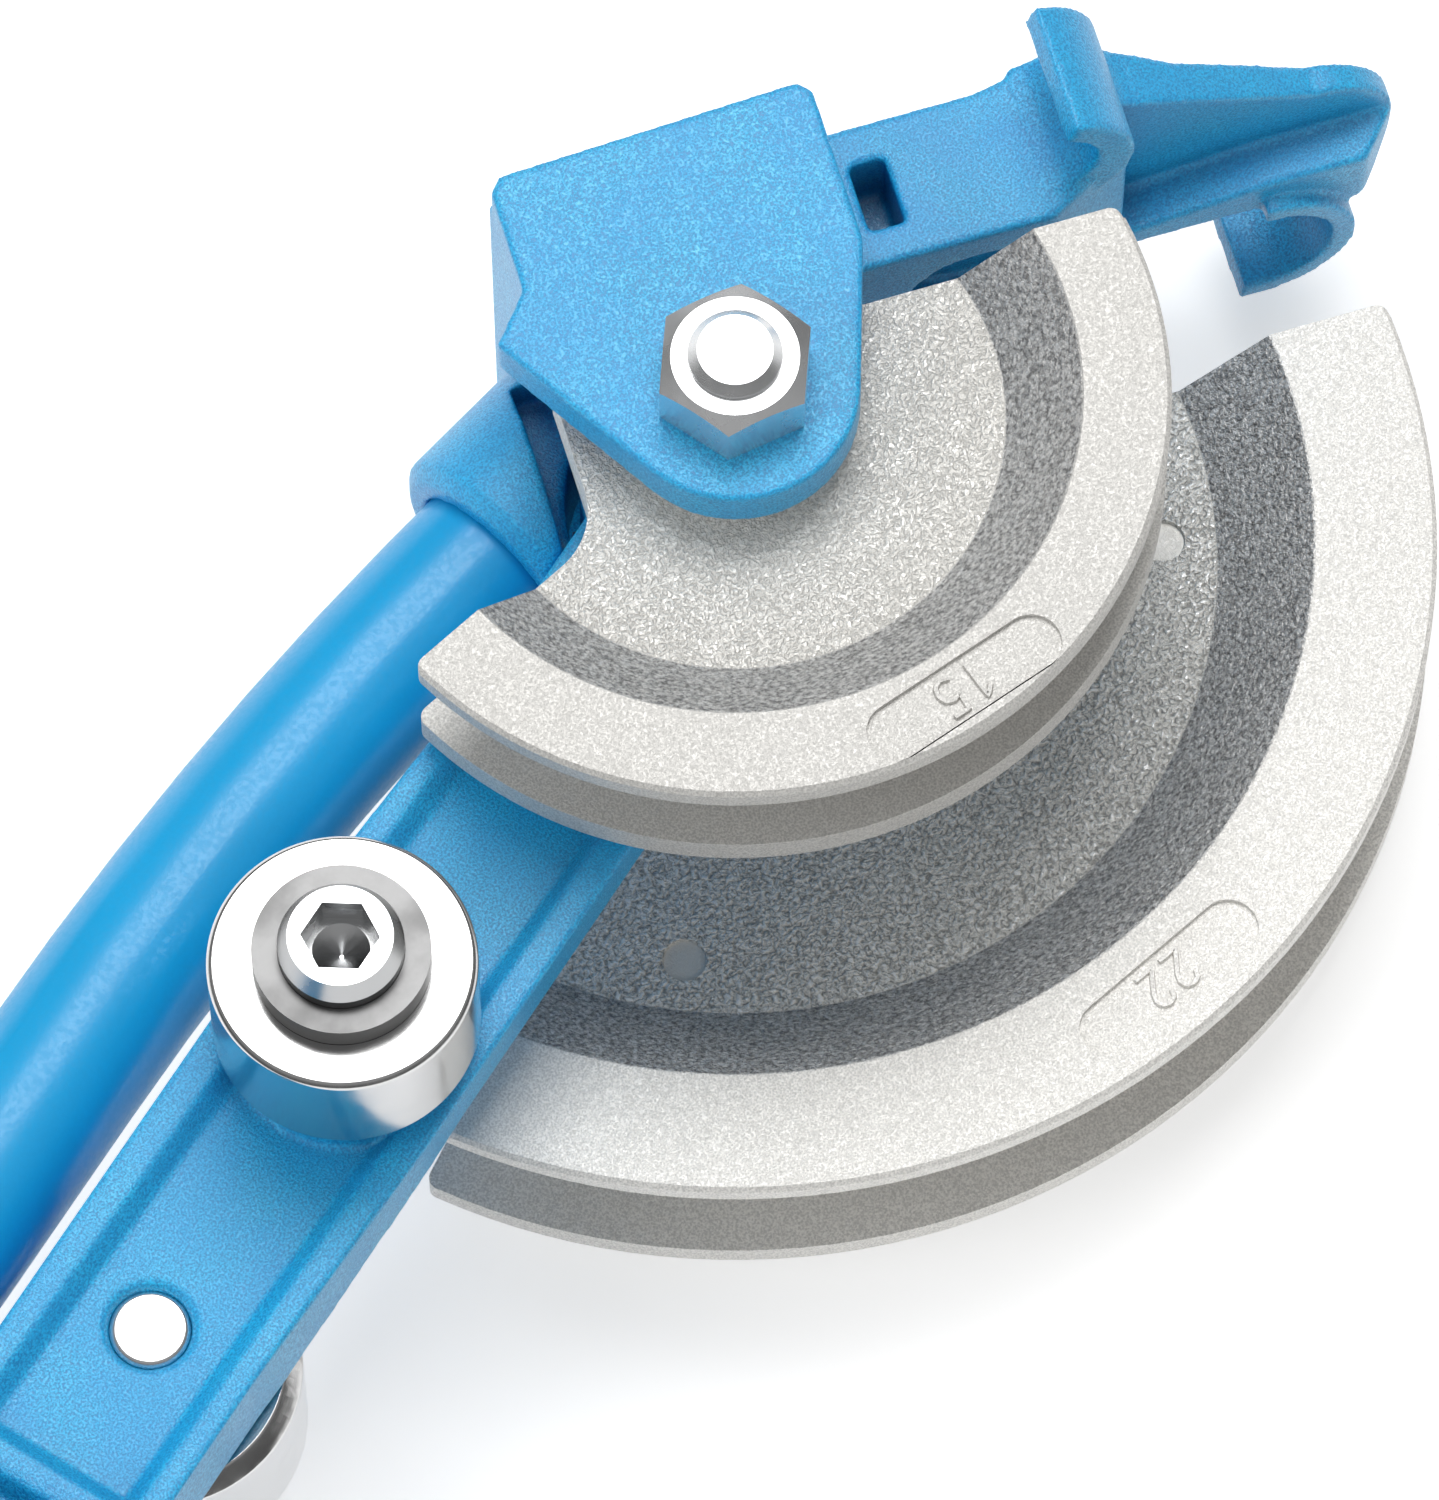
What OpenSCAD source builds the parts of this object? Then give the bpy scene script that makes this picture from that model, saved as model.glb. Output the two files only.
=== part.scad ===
// Lever tube bender with two formers, lying on its rear side.
// The pivot bolt stands along +Z, with the origin on its axis where the bolt's head rests on the bench.
// The closed lever points along -X, and the fixed handle lies beside it on the +Y side.

/* [Tubes to bend] */
// Outside diameter of the small tube
small_tube_d = 15; // [12:0.5:16]
// Outside diameter of the large tube
large_tube_d = 22; // [18:0.5:23]
// Radial room between a tube and its groove or hook
seat_clear = 0.2; // [0.1:0.05:0.4]

/* [Small former] */
// Outer radius of the small former
small_rim_r = 64.3; // [60:0.1:68]
// Radial width of its flat rim
small_rim_w = 13; // [11:0.1:14]
// Radial width of the sloping band inside the rim
small_band_w = 11.1; // [8:0.1:13]
// Depth from the rim down to the front of the web
small_band_h = 10.3; // [8:0.1:12]
// Thickness of the flange in front of the groove
small_lip_front = 3.8; // [2.5:0.1:5]
// Thickness of the flange behind the groove
small_lip_rear = 6; // [4:0.1:6.5]
// Thickness of the web
small_web_t = 8; // [6:0.5:10]
// Height of the hub through web and boss
small_hub_h = 16; // [15:0.1:18]
// Height of the boss that carries the front cheek
small_boss_h = 4.5; // [3.5:0.1:5.5]
// Radius of that boss
small_boss_r = 16; // [15.5:0.1:17]
// Distance of the small former's flat side from the pivot
small_side = 24.6; // [22:0.1:26]
// Radius between that side and the former's radial end
small_side_r = 12; // [8:0.5:14]
// Distance of the straight top edge from the pivot
small_top = 12.1; // [10:0.1:14]
// Angle of the radial end, from the hook bar
small_end_angle = -154; // [-165:1:-140]

/* [Large former] */
// Outer radius of the large former
large_rim_r = 106.2; // [103:0.1:110]
// Depth of the large tube's outer side below the rim
large_sink = 1.9; // [0:0.1:3]
// Radial width of its flat rim
large_rim_w = 18.4; // [15:0.1:20]
// Radial width of the sloping band inside the rim
large_band_w = 14.2; // [10:0.1:16]
// Depth from the rim down to the front of the web
large_band_h = 11.9; // [10:0.1:14]
// Thickness of the flange in front of the groove
large_lip_front = 3.4; // [2.5:0.1:5]
// Thickness of the flange behind the groove
large_lip_rear = 4.9; // [3:0.1:5]
// Thickness of the web
large_web_t = 8.3; // [6:0.1:10]
// Height of the hub boss above the web
large_boss_h = 11.1; // [10:0.1:12]
// Radius of the hub boss
large_hub_r = 24.5; // [22:0.5:24.5]
// Distance of the straight top edge from the pivot
large_top = 7.3; // [5:0.1:9]
// Angle of the radial end, from the hook bar
large_end_angle = -133; // [-138:1:-120]

/* [Former details] */
// Small edge chamfer around the rims
rim_edge = 0.7; // [0.3:0.1:1.2]
// Rounding of the formers' outer corners, and the bevel of the cheeks' top corners
corner_r = 2; // [1:0.5:5]
// Depth of the bare size panels and the ejector marks
panel_depth = 0.8; // [0.3:0.1:1]
// Width of a size panel
panel_w = 9; // [6:0.5:10]
// Length of a size panel
panel_l = 33; // [24:1:40]
// Angle of the small former's panel, from the hook bar
small_panel_angle = -71.7; // [-90:0.1:-50]
// Angle of the large former's panel, from the hook bar
large_panel_angle = -65.2; // [-90:0.1:-50]
// Diameter of an ejector mark on the large web
mark_d = 6.7; // [4:0.1:9]
// Radius on which the ejector marks lie
mark_r = 65.3; // [55:0.1:68]
// Angle of the first ejector mark, from the hook bar
mark_angle = -13.9; // [-20:0.1:-5]
// Angle from the first ejector mark to the second
mark_step = -99.7; // [-105:0.1:-80]

/* [Head] */
// Thickness of the front cheek
front_cheek_t = 8.3; // [7.5:0.1:10]
// Thickness of the rear cheek
rear_cheek_t = 12.8; // [10:0.1:15]
// Radius of the cheeks around the pivot
cheek_r = 18.5; // [17.5:0.1:21]
// Reach of the cheeks towards the hooks
cheek_right = 25; // [22:0.1:28]
// Height at which the cheeks start to round off
cheek_shoulder = 17; // [15:0.1:19]
// Reach of the cheeks away from the hooks
cheek_left = 25.5; // [22:0.1:28]
// Height of the head's top edge over the pivot, at the end away from the hooks
head_top = 42.3; // [40:0.1:46]
// Rise of that edge towards the hooks
head_rise = 2; // [1:0.1:3]
// Reach of the ear beside the socket
ear_s = 31.7; // [29:0.1:34]
// Height of the ear's point over the pivot
ear_n = 16.2; // [14:0.1:18]
// Height at which the ear leaves the cheek's side
ear_root_n = 23.7; // [21:0.1:27]
// Radius of the room around the lever's hub
hub_room_r = 25.5; // [25.2:0.1:26.5]
// Reach of the fork's gap towards the socket
gap_s = 28; // [27:0.1:29]
// Height of the fork's gap beside the socket
gap_n = 24; // [22:0.1:26]
// Direction of the hook bar, from +X
bar_angle = -40.8; // [-42:0.1:-39]
// Height of the bar's lower side over the pivot
bar_low = 21.5; // [20.5:0.1:23]
// High side of the bar over the pivot
bar_high = 44.6; // [43:0.1:45]
// Length of the core window in the bar's front
window_l = 5.5; // [3:0.1:8]
// Width of the core window
window_w = 11; // [8:0.1:13]
// Start of the core window along the bar
window_s = 29.5; // [28:0.1:33]
// Depth of the core window
window_h = 12; // [6:0.5:14]
// Start of the long pocket in the bar's lower side
pocket_s = 34; // [32:0.5:38]
// Length of the long pocket
pocket_l = 25; // [20:0.5:26]
// Width of the long pocket
pocket_w = 20; // [14:0.5:22]
// Depth of the long pocket
pocket_h = 7; // [4:0.5:9]

/* [Hooks] */
// Wall of the small tube's hook
small_hook_t = 6; // [5:0.1:7.5]
// Drop of the front hook's outer side, which thins its lip
small_hook_drop = 1.5; // [0:0.1:3]
// Angle at which the small hook's lip ends
small_lip_angle = 70; // [60:1:78]
// Low side of the small hook over the pivot
small_hook_low = 25.5; // [22.5:0.5:27]
// High side of the small hook over the pivot
small_hook_high = 46.8; // [45.5:0.1:48]
// Wall of the large tube's hook
large_hook_t = 3.8; // [3:0.1:5]
// Angle at which the large hook's lip ends
large_lip_angle = -103; // [-115:1:-95]
// Low side of the large hook over the pivot
large_hook_low = 26.5; // [25:0.5:29]
// High side of the large hook over the pivot
large_hook_high = 45; // [43:0.5:48]
// Low side of the plate that carries the large hook
plate_low = 29; // [27:0.5:31]
// Thickness of that plate
plate_t = 5; // [4:0.1:6]
// Low side of the rib over the plate
rib_low = 36.5; // [34:0.5:39]
// High side of the rib where it leaves the bar
rib_high = 43.5; // [42:0.1:45]
// Fall of the rib's high side over its length
rib_fall = 3; // [1:0.1:4]
// Distance of the rib's round end from the pivot
rib_reach = 116.4; // [114:0.1:118]
// Radius of the rib's round end
rib_end_r = 13; // [10:0.5:14]
// Height of the rib's foot over the plate at its round end
rib_foot = 3; // [1:0.5:5]
// Radius of the fillet between the front hook and the rib
lip_fillet_r = 6; // [4:0.5:7]

/* [Pivot] */
// Diameter of the pivot bolt
bolt_d = 14; // [12:0.5:15]
// Width across the flats of its head and nut
bolt_af = 21.3; // [20:0.1:23]
// Height of the bolt's head
bolt_head_h = 8.8; // [8:0.1:9]
// Height of the nut
nut_h = 10; // [8:0.5:12]
// Length of thread beyond the nut
bolt_end = 2.2; // [1:0.1:5]
// Wall of the bush in the lever's hub
bush_wall = 2.5; // [1.5:0.1:4]
// Thickness of each thrust washer
washer_t = 1.5; // [1:0.1:2]
// Diameter of the thrust washers
washer_d = 40; // [30:1:44]
// Diameter of the formers' dowels
dowel_d = 5; // [3:0.5:5.5]
// Radius on which the dowels lie
dowel_r = 11.8; // [11:0.1:12]
// Depth of a dowel in each piece
dowel_h = 6; // [4:0.5:6.5]
// Turning clearance of shafts in bores, on the radius
run_clear = 0.05; // [0.03:0.01:0.1]
// Radial room of the bent tube in the head's straight socket
bend_clear = 0.09; // [0.08:0.01:0.1]
// Clearance of fixed fits, on the radius
fix_clear = 0.02; // [0.01:0.01:0.05]
// Clearance between sliding flat faces
face_clear = 0.15; // [0.1:0.05:0.25]

/* [Lever] */
// Thickness of the lever's arm
arm_t = 17; // [15:0.5:18]
// Thickness of the arm's neck, from the hub to the front roller
neck_t = 9.5; // [8:0.1:12]
// Height of the lever's hub
hub_h = 23.7; // [22:0.1:25]
// Radius of the lever's hub
hub_r = 23.3; // [22:0.1:24]
// Width of the arm
arm_w = 36; // [33:0.5:38]
// Reach of the arm's neck beside the fixed handle
neck_near = 14.5; // [13:0.1:14.8]
// Reach of the arm's neck on the other side
neck_far = 19.6; // [18:0.1:20.5]
// Width of the raised rails
rail_w = 4; // [3:0.1:5]
// Depth of the floor between the rails
floor_h = 3; // [2:0.1:4]
// Slope of the floor's edges, measured on the flat
floor_slope = 2.5; // [1:0.1:3.5]
// Distance of the cross rib from the pivot
rib_x = 188; // [184:1:190]
// Width of the cross rib
rib_w = 4; // [3:0.1:6]
// Distance from the pivot at which the socket starts
lever_socket_x = 205; // [200:1:210]
// Length of the socket on the lever
lever_socket_l = 45; // [35:1:60]

/* [Rollers] */
// Distance of the front roller from the pivot
front_roller_x = 106.4; // [104:0.1:108]
// Radius of the front roller
front_roller_r = 19.7; // [18:0.1:21]
// Height of the front roller
front_roller_h = 22.3; // [20:0.1:24]
// Height of the boss under the front roller, over the arm
front_boss_h = 5.85; // [5:0.05:7]
// Radius of the boss's top
front_boss_r = 14.5; // [13:0.1:15]
// Outside diameter of the sleeve in the front roller
sleeve_d = 23; // [21.5:0.1:24]
// Diameter of the sleeve's flange
sleeve_flange_d = 26; // [25:0.1:30]
// Thickness of the sleeve's flange
sleeve_flange_t = 4.5; // [3.5:0.1:5]
// Thread diameter of the roller screw
screw_d = 12; // [10:0.5:12.5]
// Head diameter of the roller screw
screw_head_d = 18.4; // [17:0.1:18.6]
// Head height of the roller screw
screw_head_h = 10.5; // [10:0.5:13]
// Depth to which the head is let into the sleeve
screw_sink = 5.2; // [4:0.1:5.5]
// Width across the flats of the screw's socket
screw_af = 10; // [8:0.5:11]
// Distance of the rear roller from the pivot
rear_roller_x = 159.5; // [157:0.1:162]
// Radius of the rear roller
rear_roller_r = 21.7; // [20:0.1:23]
// Height of the rear roller
rear_roller_h = 27.5; // [25:0.1:28]
// Edge chamfer of the rear roller
rear_roller_edge = 2.4; // [1:0.1:3]
// Thickness of the washer over the rear roller
rear_washer_t = 1.3; // [0.8:0.1:2]
// Diameter of that washer
rear_washer_d = 26; // [20:0.5:30]
// Diameter of the rear axle
axle_d = 12; // [10:0.5:12.5]
// Head diameter of the rear axle
axle_head_d = 24; // [18:0.5:28]
// Head height of the rear axle
axle_head_h = 4.5; // [3:0.1:6]

/* [Handles] */
// Outside diameter of both handle tubes
handle_d = 25.4; // [24:0.1:25.8]
// Wall of the handle tubes
handle_wall = 2.5; // [1.5:0.1:4]
// Distance of both handle ends from the pivot
handle_reach = 620; // [450:5:800]
// Height of the fixed handle's axis
frame_tube_z = 48.5; // [47:0.1:52]
// Place of the head socket's mouth along X
mouth_x = -26.8; // [-28:0.1:-25.5]
// Place of the head socket's mouth along Y
mouth_y = 27.2; // [27:0.1:29]
// Angle between the head socket and the closed lever
socket_tilt = 10.5; // [9:0.1:11]
// Radius of the bend in the fixed handle
bend_r = 560; // [450:5:650]
// Depth of the fixed handle's tube in the head's socket
tube_in = 7; // [6:0.1:7]
// Wall of both sockets
socket_wall = 5.6; // [4.5:0.1:6]
// Chamfer around the mouths of both sockets
socket_edge = 2.4; // [1:0.1:4]
// Length of the head's socket
socket_l = 42; // [36:1:46]
// Diameter of the pins in the sockets
pin_d = 4; // [3:0.5:4.5]
// Distance of a pin from its socket's mouth
pin_back = 3.5; // [3:0.1:3.8]
// Length of a grip
grip_l = 130; // [90:5:160]
// Wall of a grip
grip_wall = 3.2; // [2.5:0.1:4]
// Spacing of the grip's rings
grip_pitch = 9; // [7:0.5:12]
// Depth of the grip's rings
grip_ring = 0.8; // [0.4:0.1:1.2]
// Depth of an end plug in its tube
plug_h = 14; // [8:1:25]
// Thickness of an end plug's cap
plug_cap = 3; // [2:0.5:5]

/* [Hidden] */
$fn = 96;
blue = [0.16, 0.55, 0.80];
plated = [0.83, 0.84, 0.85];
cast_alu = [0.72, 0.71, 0.69];
dark = [0.10, 0.10, 0.11];
bronze = [0.70, 0.52, 0.30];
// Overrun of a cut past the face that it opens
over = 1;
// Reach of the cuts that remove everything on one side
far = 400;
nut_turn = 27.8;
hex_face = 0.445;
hub_chamfer = 1.4;

// Heights of the pieces on the pivot, from the bench up
z_rear_cheek = bolt_head_h;
z_large_web = z_rear_cheek + rear_cheek_t;
z_large_face = z_large_web + large_web_t + large_band_h;
large_seat_r = large_tube_d / 2 + seat_clear;
z_large_groove = z_large_face - large_lip_front - large_seat_r;
z_large_rear = z_large_groove - large_seat_r - large_lip_rear;
z_large_hub = z_large_web + large_web_t + large_boss_h;
z_hub = z_large_hub + washer_t + face_clear;
z_hub_top = z_hub + hub_h;
z_small_hub = z_hub_top + face_clear + washer_t;
z_small_web = z_small_hub + small_hub_h;
z_front_cheek = z_small_web + small_boss_h;
z_small_face = z_small_web + small_band_h;
small_seat_r = small_tube_d / 2 + seat_clear;
z_small_groove = z_small_face - small_lip_front - small_seat_r;
z_small_rear = z_small_groove - small_seat_r - small_lip_rear;
z_nut = z_front_cheek + front_cheek_t;
z_bolt_end = z_nut + nut_h + bolt_end;

// Bend radii of the tubes: the small one lies flush with its rim, the large one sinks below it
small_bend_r = small_rim_r - small_tube_d / 2;
large_bend_r = large_rim_r - large_sink - large_tube_d / 2;

// The bar fills the room between the two tubes, a step away from their seats
seat_step = 0.3;
z_bar = z_large_groove + large_seat_r + seat_step;
z_bar_top = z_small_groove - small_seat_r - seat_step;
head_slope = atan(head_rise / (cheek_left + cheek_right));
small_hook_r = small_seat_r + small_hook_t;
large_hook_r = large_seat_r + large_hook_t;
bar_end = small_bend_r + small_hook_r;

// The lever's arm hangs from the top of its hub
z_arm = z_hub_top - arm_t;
z_neck = z_hub_top - neck_t;
z_floor = z_hub_top - floor_h;
z_arm_mid = z_hub_top - arm_t / 2;
bush_r = bolt_d / 2 + run_clear + bush_wall;

// Front roller on its sleeve, rear roller on its axle
z_front_boss = z_hub_top + front_boss_h;
z_front_roller = z_front_boss + face_clear;
z_flange = z_front_roller + front_roller_h + face_clear;
z_screw_seat = z_flange + sleeve_flange_t - screw_sink;
z_rear_washer = z_arm - rear_washer_t;
z_rear_roller = z_rear_washer - face_clear - rear_roller_h;
z_axle_head = z_rear_roller - face_clear;
axle_pocket_clear = 0.75;
axle_sink = 0.6;
screw_socket_h = 6;
screw_tip = 1.5;
drill_slope = 0.6;

// Sockets and handle tubes
handle_r = handle_d / 2;
socket_r = handle_r + socket_wall;
socket_bore = handle_r + fix_clear;
tube_back = 3;
slot_side = 0.6;
slot_room = 1.3;
bend_x = mouth_x - bend_r * sin(socket_tilt);
frame_handle_y = mouth_y + bend_r * (1 - cos(socket_tilt));
lever_mouth_x = lever_socket_x + lever_socket_l;
grip_r = handle_r + fix_clear + grip_wall;
grip_rings = floor((grip_l - 2 * grip_pitch) / grip_pitch);

// A solid between two heights over a flat outline
module prism(z0, z1) {
    translate([0, 0, z0])
        linear_extrude(z1 - z0) children();
}

// A solid between two distances from the bar's axis, over an outline drawn along the bar and up
module across(n0, n1) {
    translate([0, n1, 0])
        rotate([90, 0, 0])
            linear_extrude(n1 - n0) children();
}

// Hexagon with two vertices on its own X axis
module hexagon(af) {
    circle(d = af / cos(30), $fn = 6);
}

// Turns the bar's frame, with X along the bar, into the tool's frame
module bar_frame() {
    rotate([0, 0, bar_angle]) children();
}

// Turns the tool's frame back into the bar's frame
module tool_frame() {
    rotate([0, 0, -bar_angle]) children();
}

// Point at a radius and an angle
function polar(r, a) = [r * cos(a), r * sin(a)];

// Where the line from p touches a circle about the origin, on the side given by +1 or -1
function touch(p, r, side) = polar(r, atan2(p[1], p[0]) + side * acos(r / norm(p)));

// Ring between two radii and two angles less than a half turn and a quarter apart, with its outer circle
// dropped to thin the ring's upper end
module ring_sector(r0, r1, a0, a1, drop) {
    reach = 2 * r1;
    steps = 4;
    difference() {
        intersection() {
            translate([0, -drop])
                circle(r1);
            polygon(concat([[0, 0]],
                [for (i = [0 : steps]) polar(reach, a0 + (a1 - a0) * i / steps)]));
        }
        circle(r0);
    }
}

// Everything between a square corner at the origin and the arc that rounds it
module corner_waste(r) {
    difference() {
        translate([-over, -over])
            square(r + over);
        translate([r, r])
            circle(r);
    }
}

// Cheek of the fork, in the bar's frame: its top edge rises towards the hooks, with bevelled corners
module cheek_outline() {
    right = [cheek_right, cheek_shoulder];
    ear = [-ear_s, ear_n];
    top_left = [-cheek_left, head_top];
    top_right = [cheek_right, head_top + head_rise];
    edge = (top_right - top_left) / norm(top_right - top_left);
    circle(cheek_r);
    polygon([top_right - corner_r * edge, top_right - [0, corner_r], right,
        touch(right, cheek_r, -1), [0, 0], touch(ear, cheek_r, 1), ear, [-cheek_left, ear_root_n],
        top_left - [0, corner_r], top_left + corner_r * edge]);
}

// Outside of a socket about its axis, from its depth up to its chamfered mouth at zero
module socket_body(depth) {
    rotate_extrude()
        polygon([[0, -depth], [socket_r, -depth], [socket_r, -socket_edge], [socket_r - socket_edge, 0],
            [0, 0]]);
}

// Places a solid drawn along +Z on the axis of the head's socket, starting at its mouth
module socket_axis() {
    translate([mouth_x, mouth_y, frame_tube_z])
        rotate([0, 0, 180 - socket_tilt])
            rotate([0, 90, 0]) children();
}

module pin_place() {
    translate([mouth_x, mouth_y, frame_tube_z])
        rotate([0, 0, 180 - socket_tilt])
            translate([-pin_back, 0, -socket_r]) children();
}

// Bar between the head and the front hook, with the flare of its top edge
module hook_bar() {
    root_s = cheek_right - cheek_r / 2;
    flare_s = small_bend_r - small_hook_t;
    prism(z_bar, z_bar_top)
        polygon([[root_s, bar_low], [small_bend_r, bar_low], [bar_end - small_hook_t, small_hook_low],
            [bar_end, small_hook_low + small_hook_t / 2], [bar_end, small_hook_high],
            [small_bend_r + small_hook_t, small_hook_high], [flare_s, bar_high], [cheek_right, bar_high],
            [root_s, head_top]]);
}

// Hook that curls forwards round the small tube
module small_hook() {
    across(small_hook_low, small_hook_high)
        translate([small_bend_r, z_small_groove])
            ring_sector(small_seat_r, small_hook_r, -90, small_lip_angle, small_hook_drop);
}

// Hook that curls backwards round the large tube, with its plate and its rib
module large_hook() {
    end_s = rib_reach - rib_end_r;
    end_z = z_bar + plate_t + rib_end_r / 10;
    foot_z = z_bar + plate_t + rib_foot;
    across(large_hook_low, large_hook_high)
        translate([large_bend_r, z_large_groove])
            ring_sector(large_seat_r, large_hook_r, large_lip_angle, 90, 0);
    across(plate_low, large_hook_high)
        translate([small_bend_r, z_bar])
            square([large_bend_r - small_bend_r, plate_t]);
    intersection() {
        across(bar_low, head_top + far)
            rib_profile(end_s, end_z);
        union() {
            prism(z_large_groove, z_small_groove)
                polygon([[small_bend_r, rib_low], [rib_reach, rib_low], [rib_reach, rib_high - rib_fall],
                    [bar_end + 2 * lip_fillet_r, rib_high], [bar_end, small_hook_high],
                    [small_bend_r, small_hook_high]]);
            // Foot that ramps up from the plate to the round end
            intersection() {
                prism(z_large_groove, foot_z)
                    polygon([[small_bend_r, rib_low + over], [small_bend_r, plate_low],
                        [end_s + rib_end_r / 2, plate_low], [rib_reach, rib_low],
                        [rib_reach, rib_low + over]]);
                across(bar_low, head_top)
                    polygon([[small_bend_r, z_bar], [bar_end, z_bar + plate_t - seat_step],
                        [large_bend_r, foot_z], [rib_reach, foot_z], [rib_reach, z_large_groove],
                        [large_bend_r, z_large_groove]]);
            }
        }
    }
}

// Side view of the rib: it falls from the front hook, with a fillet, to its round end over the large seat
module rib_profile(end_s, end_z) {
    start = [bar_end, z_bar_top];
    slope = [end_s, end_z + rib_end_r] - start;
    along = slope / norm(slope);
    rise = [-along[1], along[0]];
    hook = [small_bend_r, z_small_groove - small_hook_drop] - start;
    reach = small_hook_r + lip_fillet_r;
    lift = lip_fillet_r - hook * rise;
    centre = start + along * (hook * along + sqrt(reach * reach - lift * lift)) + rise * lip_fillet_r;
    difference() {
        union() {
            polygon([[small_bend_r, z_bar + over], [small_bend_r, z_bar_top], start,
                [end_s, end_z + rib_end_r], [end_s, z_bar + over]]);
            translate([end_s, end_z])
                circle(rib_end_r);
            polygon([[small_bend_r, z_bar_top - over], start - over * rise,
                centre - (lip_fillet_r + over) * rise, centre, start + hook]);
        }
        translate([large_bend_r, z_large_groove])
            circle(large_seat_r + seat_step);
        translate([small_bend_r, z_small_groove])
            circle(small_seat_r + seat_step);
        translate(centre)
            circle(lip_fillet_r + seat_step);
    }
}

module head_casting() {
    color(blue)
    bar_frame()
    difference() {
        union() {
            prism(z_front_cheek, z_nut) cheek_outline();
            prism(z_rear_cheek, z_large_web) cheek_outline();
            difference() {
                union() {
                    prism(z_large_web, z_front_cheek)
                        polygon([[-cheek_left, bar_low], [cheek_right, bar_low],
                            [cheek_right, head_top + head_rise - seat_step],
                            [-cheek_left, head_top - seat_step]]);
                    tool_frame() socket_axis()
                        socket_body(socket_l);
                }
                prism(z_large_web, z_front_cheek)
                    circle(hub_room_r);
                prism(z_large_web, z_front_cheek)
                    translate([-cheek_left, head_top - seat_step])
                        rotate(head_slope)
                            translate([-far, 0])
                                square([2 * far, far]);
                prism(z_neck - slot_room - over, z_front_cheek)
                    translate([-gap_s, gap_n - far])
                        square([gap_s, far]);
            }
            hook_bar();
            small_hook();
            large_hook();
        }
        // Bore of the pivot bolt
        prism(-over, z_bolt_end)
            circle(bolt_d / 2 + fix_clear);
        // Blind holes of the dowels
        rotate(180 + small_top)
            translate([dowel_r, 0, 0]) {
                prism(z_front_cheek - over, z_front_cheek + dowel_h)
                    circle(dowel_d / 2 + fix_clear);
                prism(z_large_web - dowel_h, z_large_web + over)
                    circle(dowel_d / 2 + fix_clear);
            }
        // Core window and long pocket of the bar
        prism(z_bar_top - window_h, z_bar_top + over)
            translate([window_s, (bar_low + head_top - window_w) / 2 + over])
                square([window_l, window_w]);
        across(bar_low - over, bar_low + pocket_h)
            for (s = [pocket_s + pocket_w / 2, pocket_s + pocket_l - pocket_w / 2])
                translate([s, (z_bar + z_bar_top) / 2 + over])
                    circle(d = pocket_w);
        across(bar_low - over, bar_low + pocket_h)
            translate([pocket_s + pocket_w / 2, (z_bar + z_bar_top) / 2 + over - pocket_w / 2])
                square([pocket_l - pocket_w, pocket_w]);
        tool_frame() {
            // Bore of the fixed handle's tube, its pin, and room for the closed lever
            socket_axis()
                translate([0, 0, -tube_in - seat_step])
                    cylinder(r = handle_r + bend_clear, h = socket_l);
            pin_place()
                cylinder(d = pin_d + 2 * fix_clear, h = socket_wall + over);
            translate([-far, -far, z_neck - slot_room])
                cube([far, far + neck_near + slot_side, neck_t + 2 * slot_room]);
        }
    }
}

// Cross section of a former to one side of the axis: flat rim, sloping band and web, front and rear
module former_section(rim_r, rim_w, band_w, z_face, z_web1, z_web0, z_rear) {
    rim_in = rim_r - rim_w;
    web_r = rim_in - band_w;
    polygon([[0, z_web0], [web_r, z_web0], [rim_in, z_rear], [rim_r - rim_edge, z_rear],
        [rim_r, z_rear + rim_edge], [rim_r, z_face - rim_edge], [rim_r - rim_edge, z_face],
        [rim_in, z_face], [web_r, z_web1], [0, z_web1]]);
}

// Groove of a former: a torus for the tube, open to the rim
module groove(bend_r, seat_r, rim_r, z) {
    rotate_extrude($fn = 180) {
        translate([bend_r, z])
            circle(seat_r);
        translate([bend_r, z - seat_r])
            square([rim_r - bend_r + over, 2 * seat_r]);
    }
}

// Outline that a former loses: above its straight top, and between its radial end and that top
module former_waste(top, end_angle, hub_r) {
    translate([-far, top])
        square([2 * far, far]);
    difference() {
        polygon([[0, top], [0, 0], polar(far, end_angle), [-far, -far / 4], [-far, top]]);
        circle(hub_r);
    }
}

// Outline that the small former loses: above its straight top, and beyond its flat side and radial end
module small_waste() {
    end = polar(1, small_end_angle);
    corner = [-small_side, -small_side * end[1] / end[0]];
    turn = tan(-(90 + small_end_angle) / 2);
    centre = corner + [-small_side_r, small_side_r * turn];
    translate([-far, small_top])
        square([2 * far, far]);
    difference() {
        polygon([[-small_side, small_top + over], corner, polar(far, small_end_angle), [-far, -far / 4],
            [-far, small_top + over]]);
        difference() {
            polygon([corner, [-small_side, centre[1]], centre, corner + small_side_r * turn * end]);
            translate(centre)
                circle(small_side_r);
        }
    }
}

// Rounds a former's two outer corners
module former_corners(rim_r, top, end_angle) {
    translate([sqrt(rim_r * rim_r - top * top), top])
        rotate(180) corner_waste(corner_r);
    translate(polar(rim_r, end_angle))
        rotate(end_angle + 90) corner_waste(corner_r);
}

// Bare size panel: a pill sunk into the rim
module size_panel(r, angle) {
    rotate(angle)
        translate([r, 0]) {
            square([panel_w, panel_l - panel_w], center = true);
            for (side = [-1, 1])
                translate([0, side * (panel_l - panel_w) / 2])
                    circle(d = panel_w);
        }
}

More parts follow.
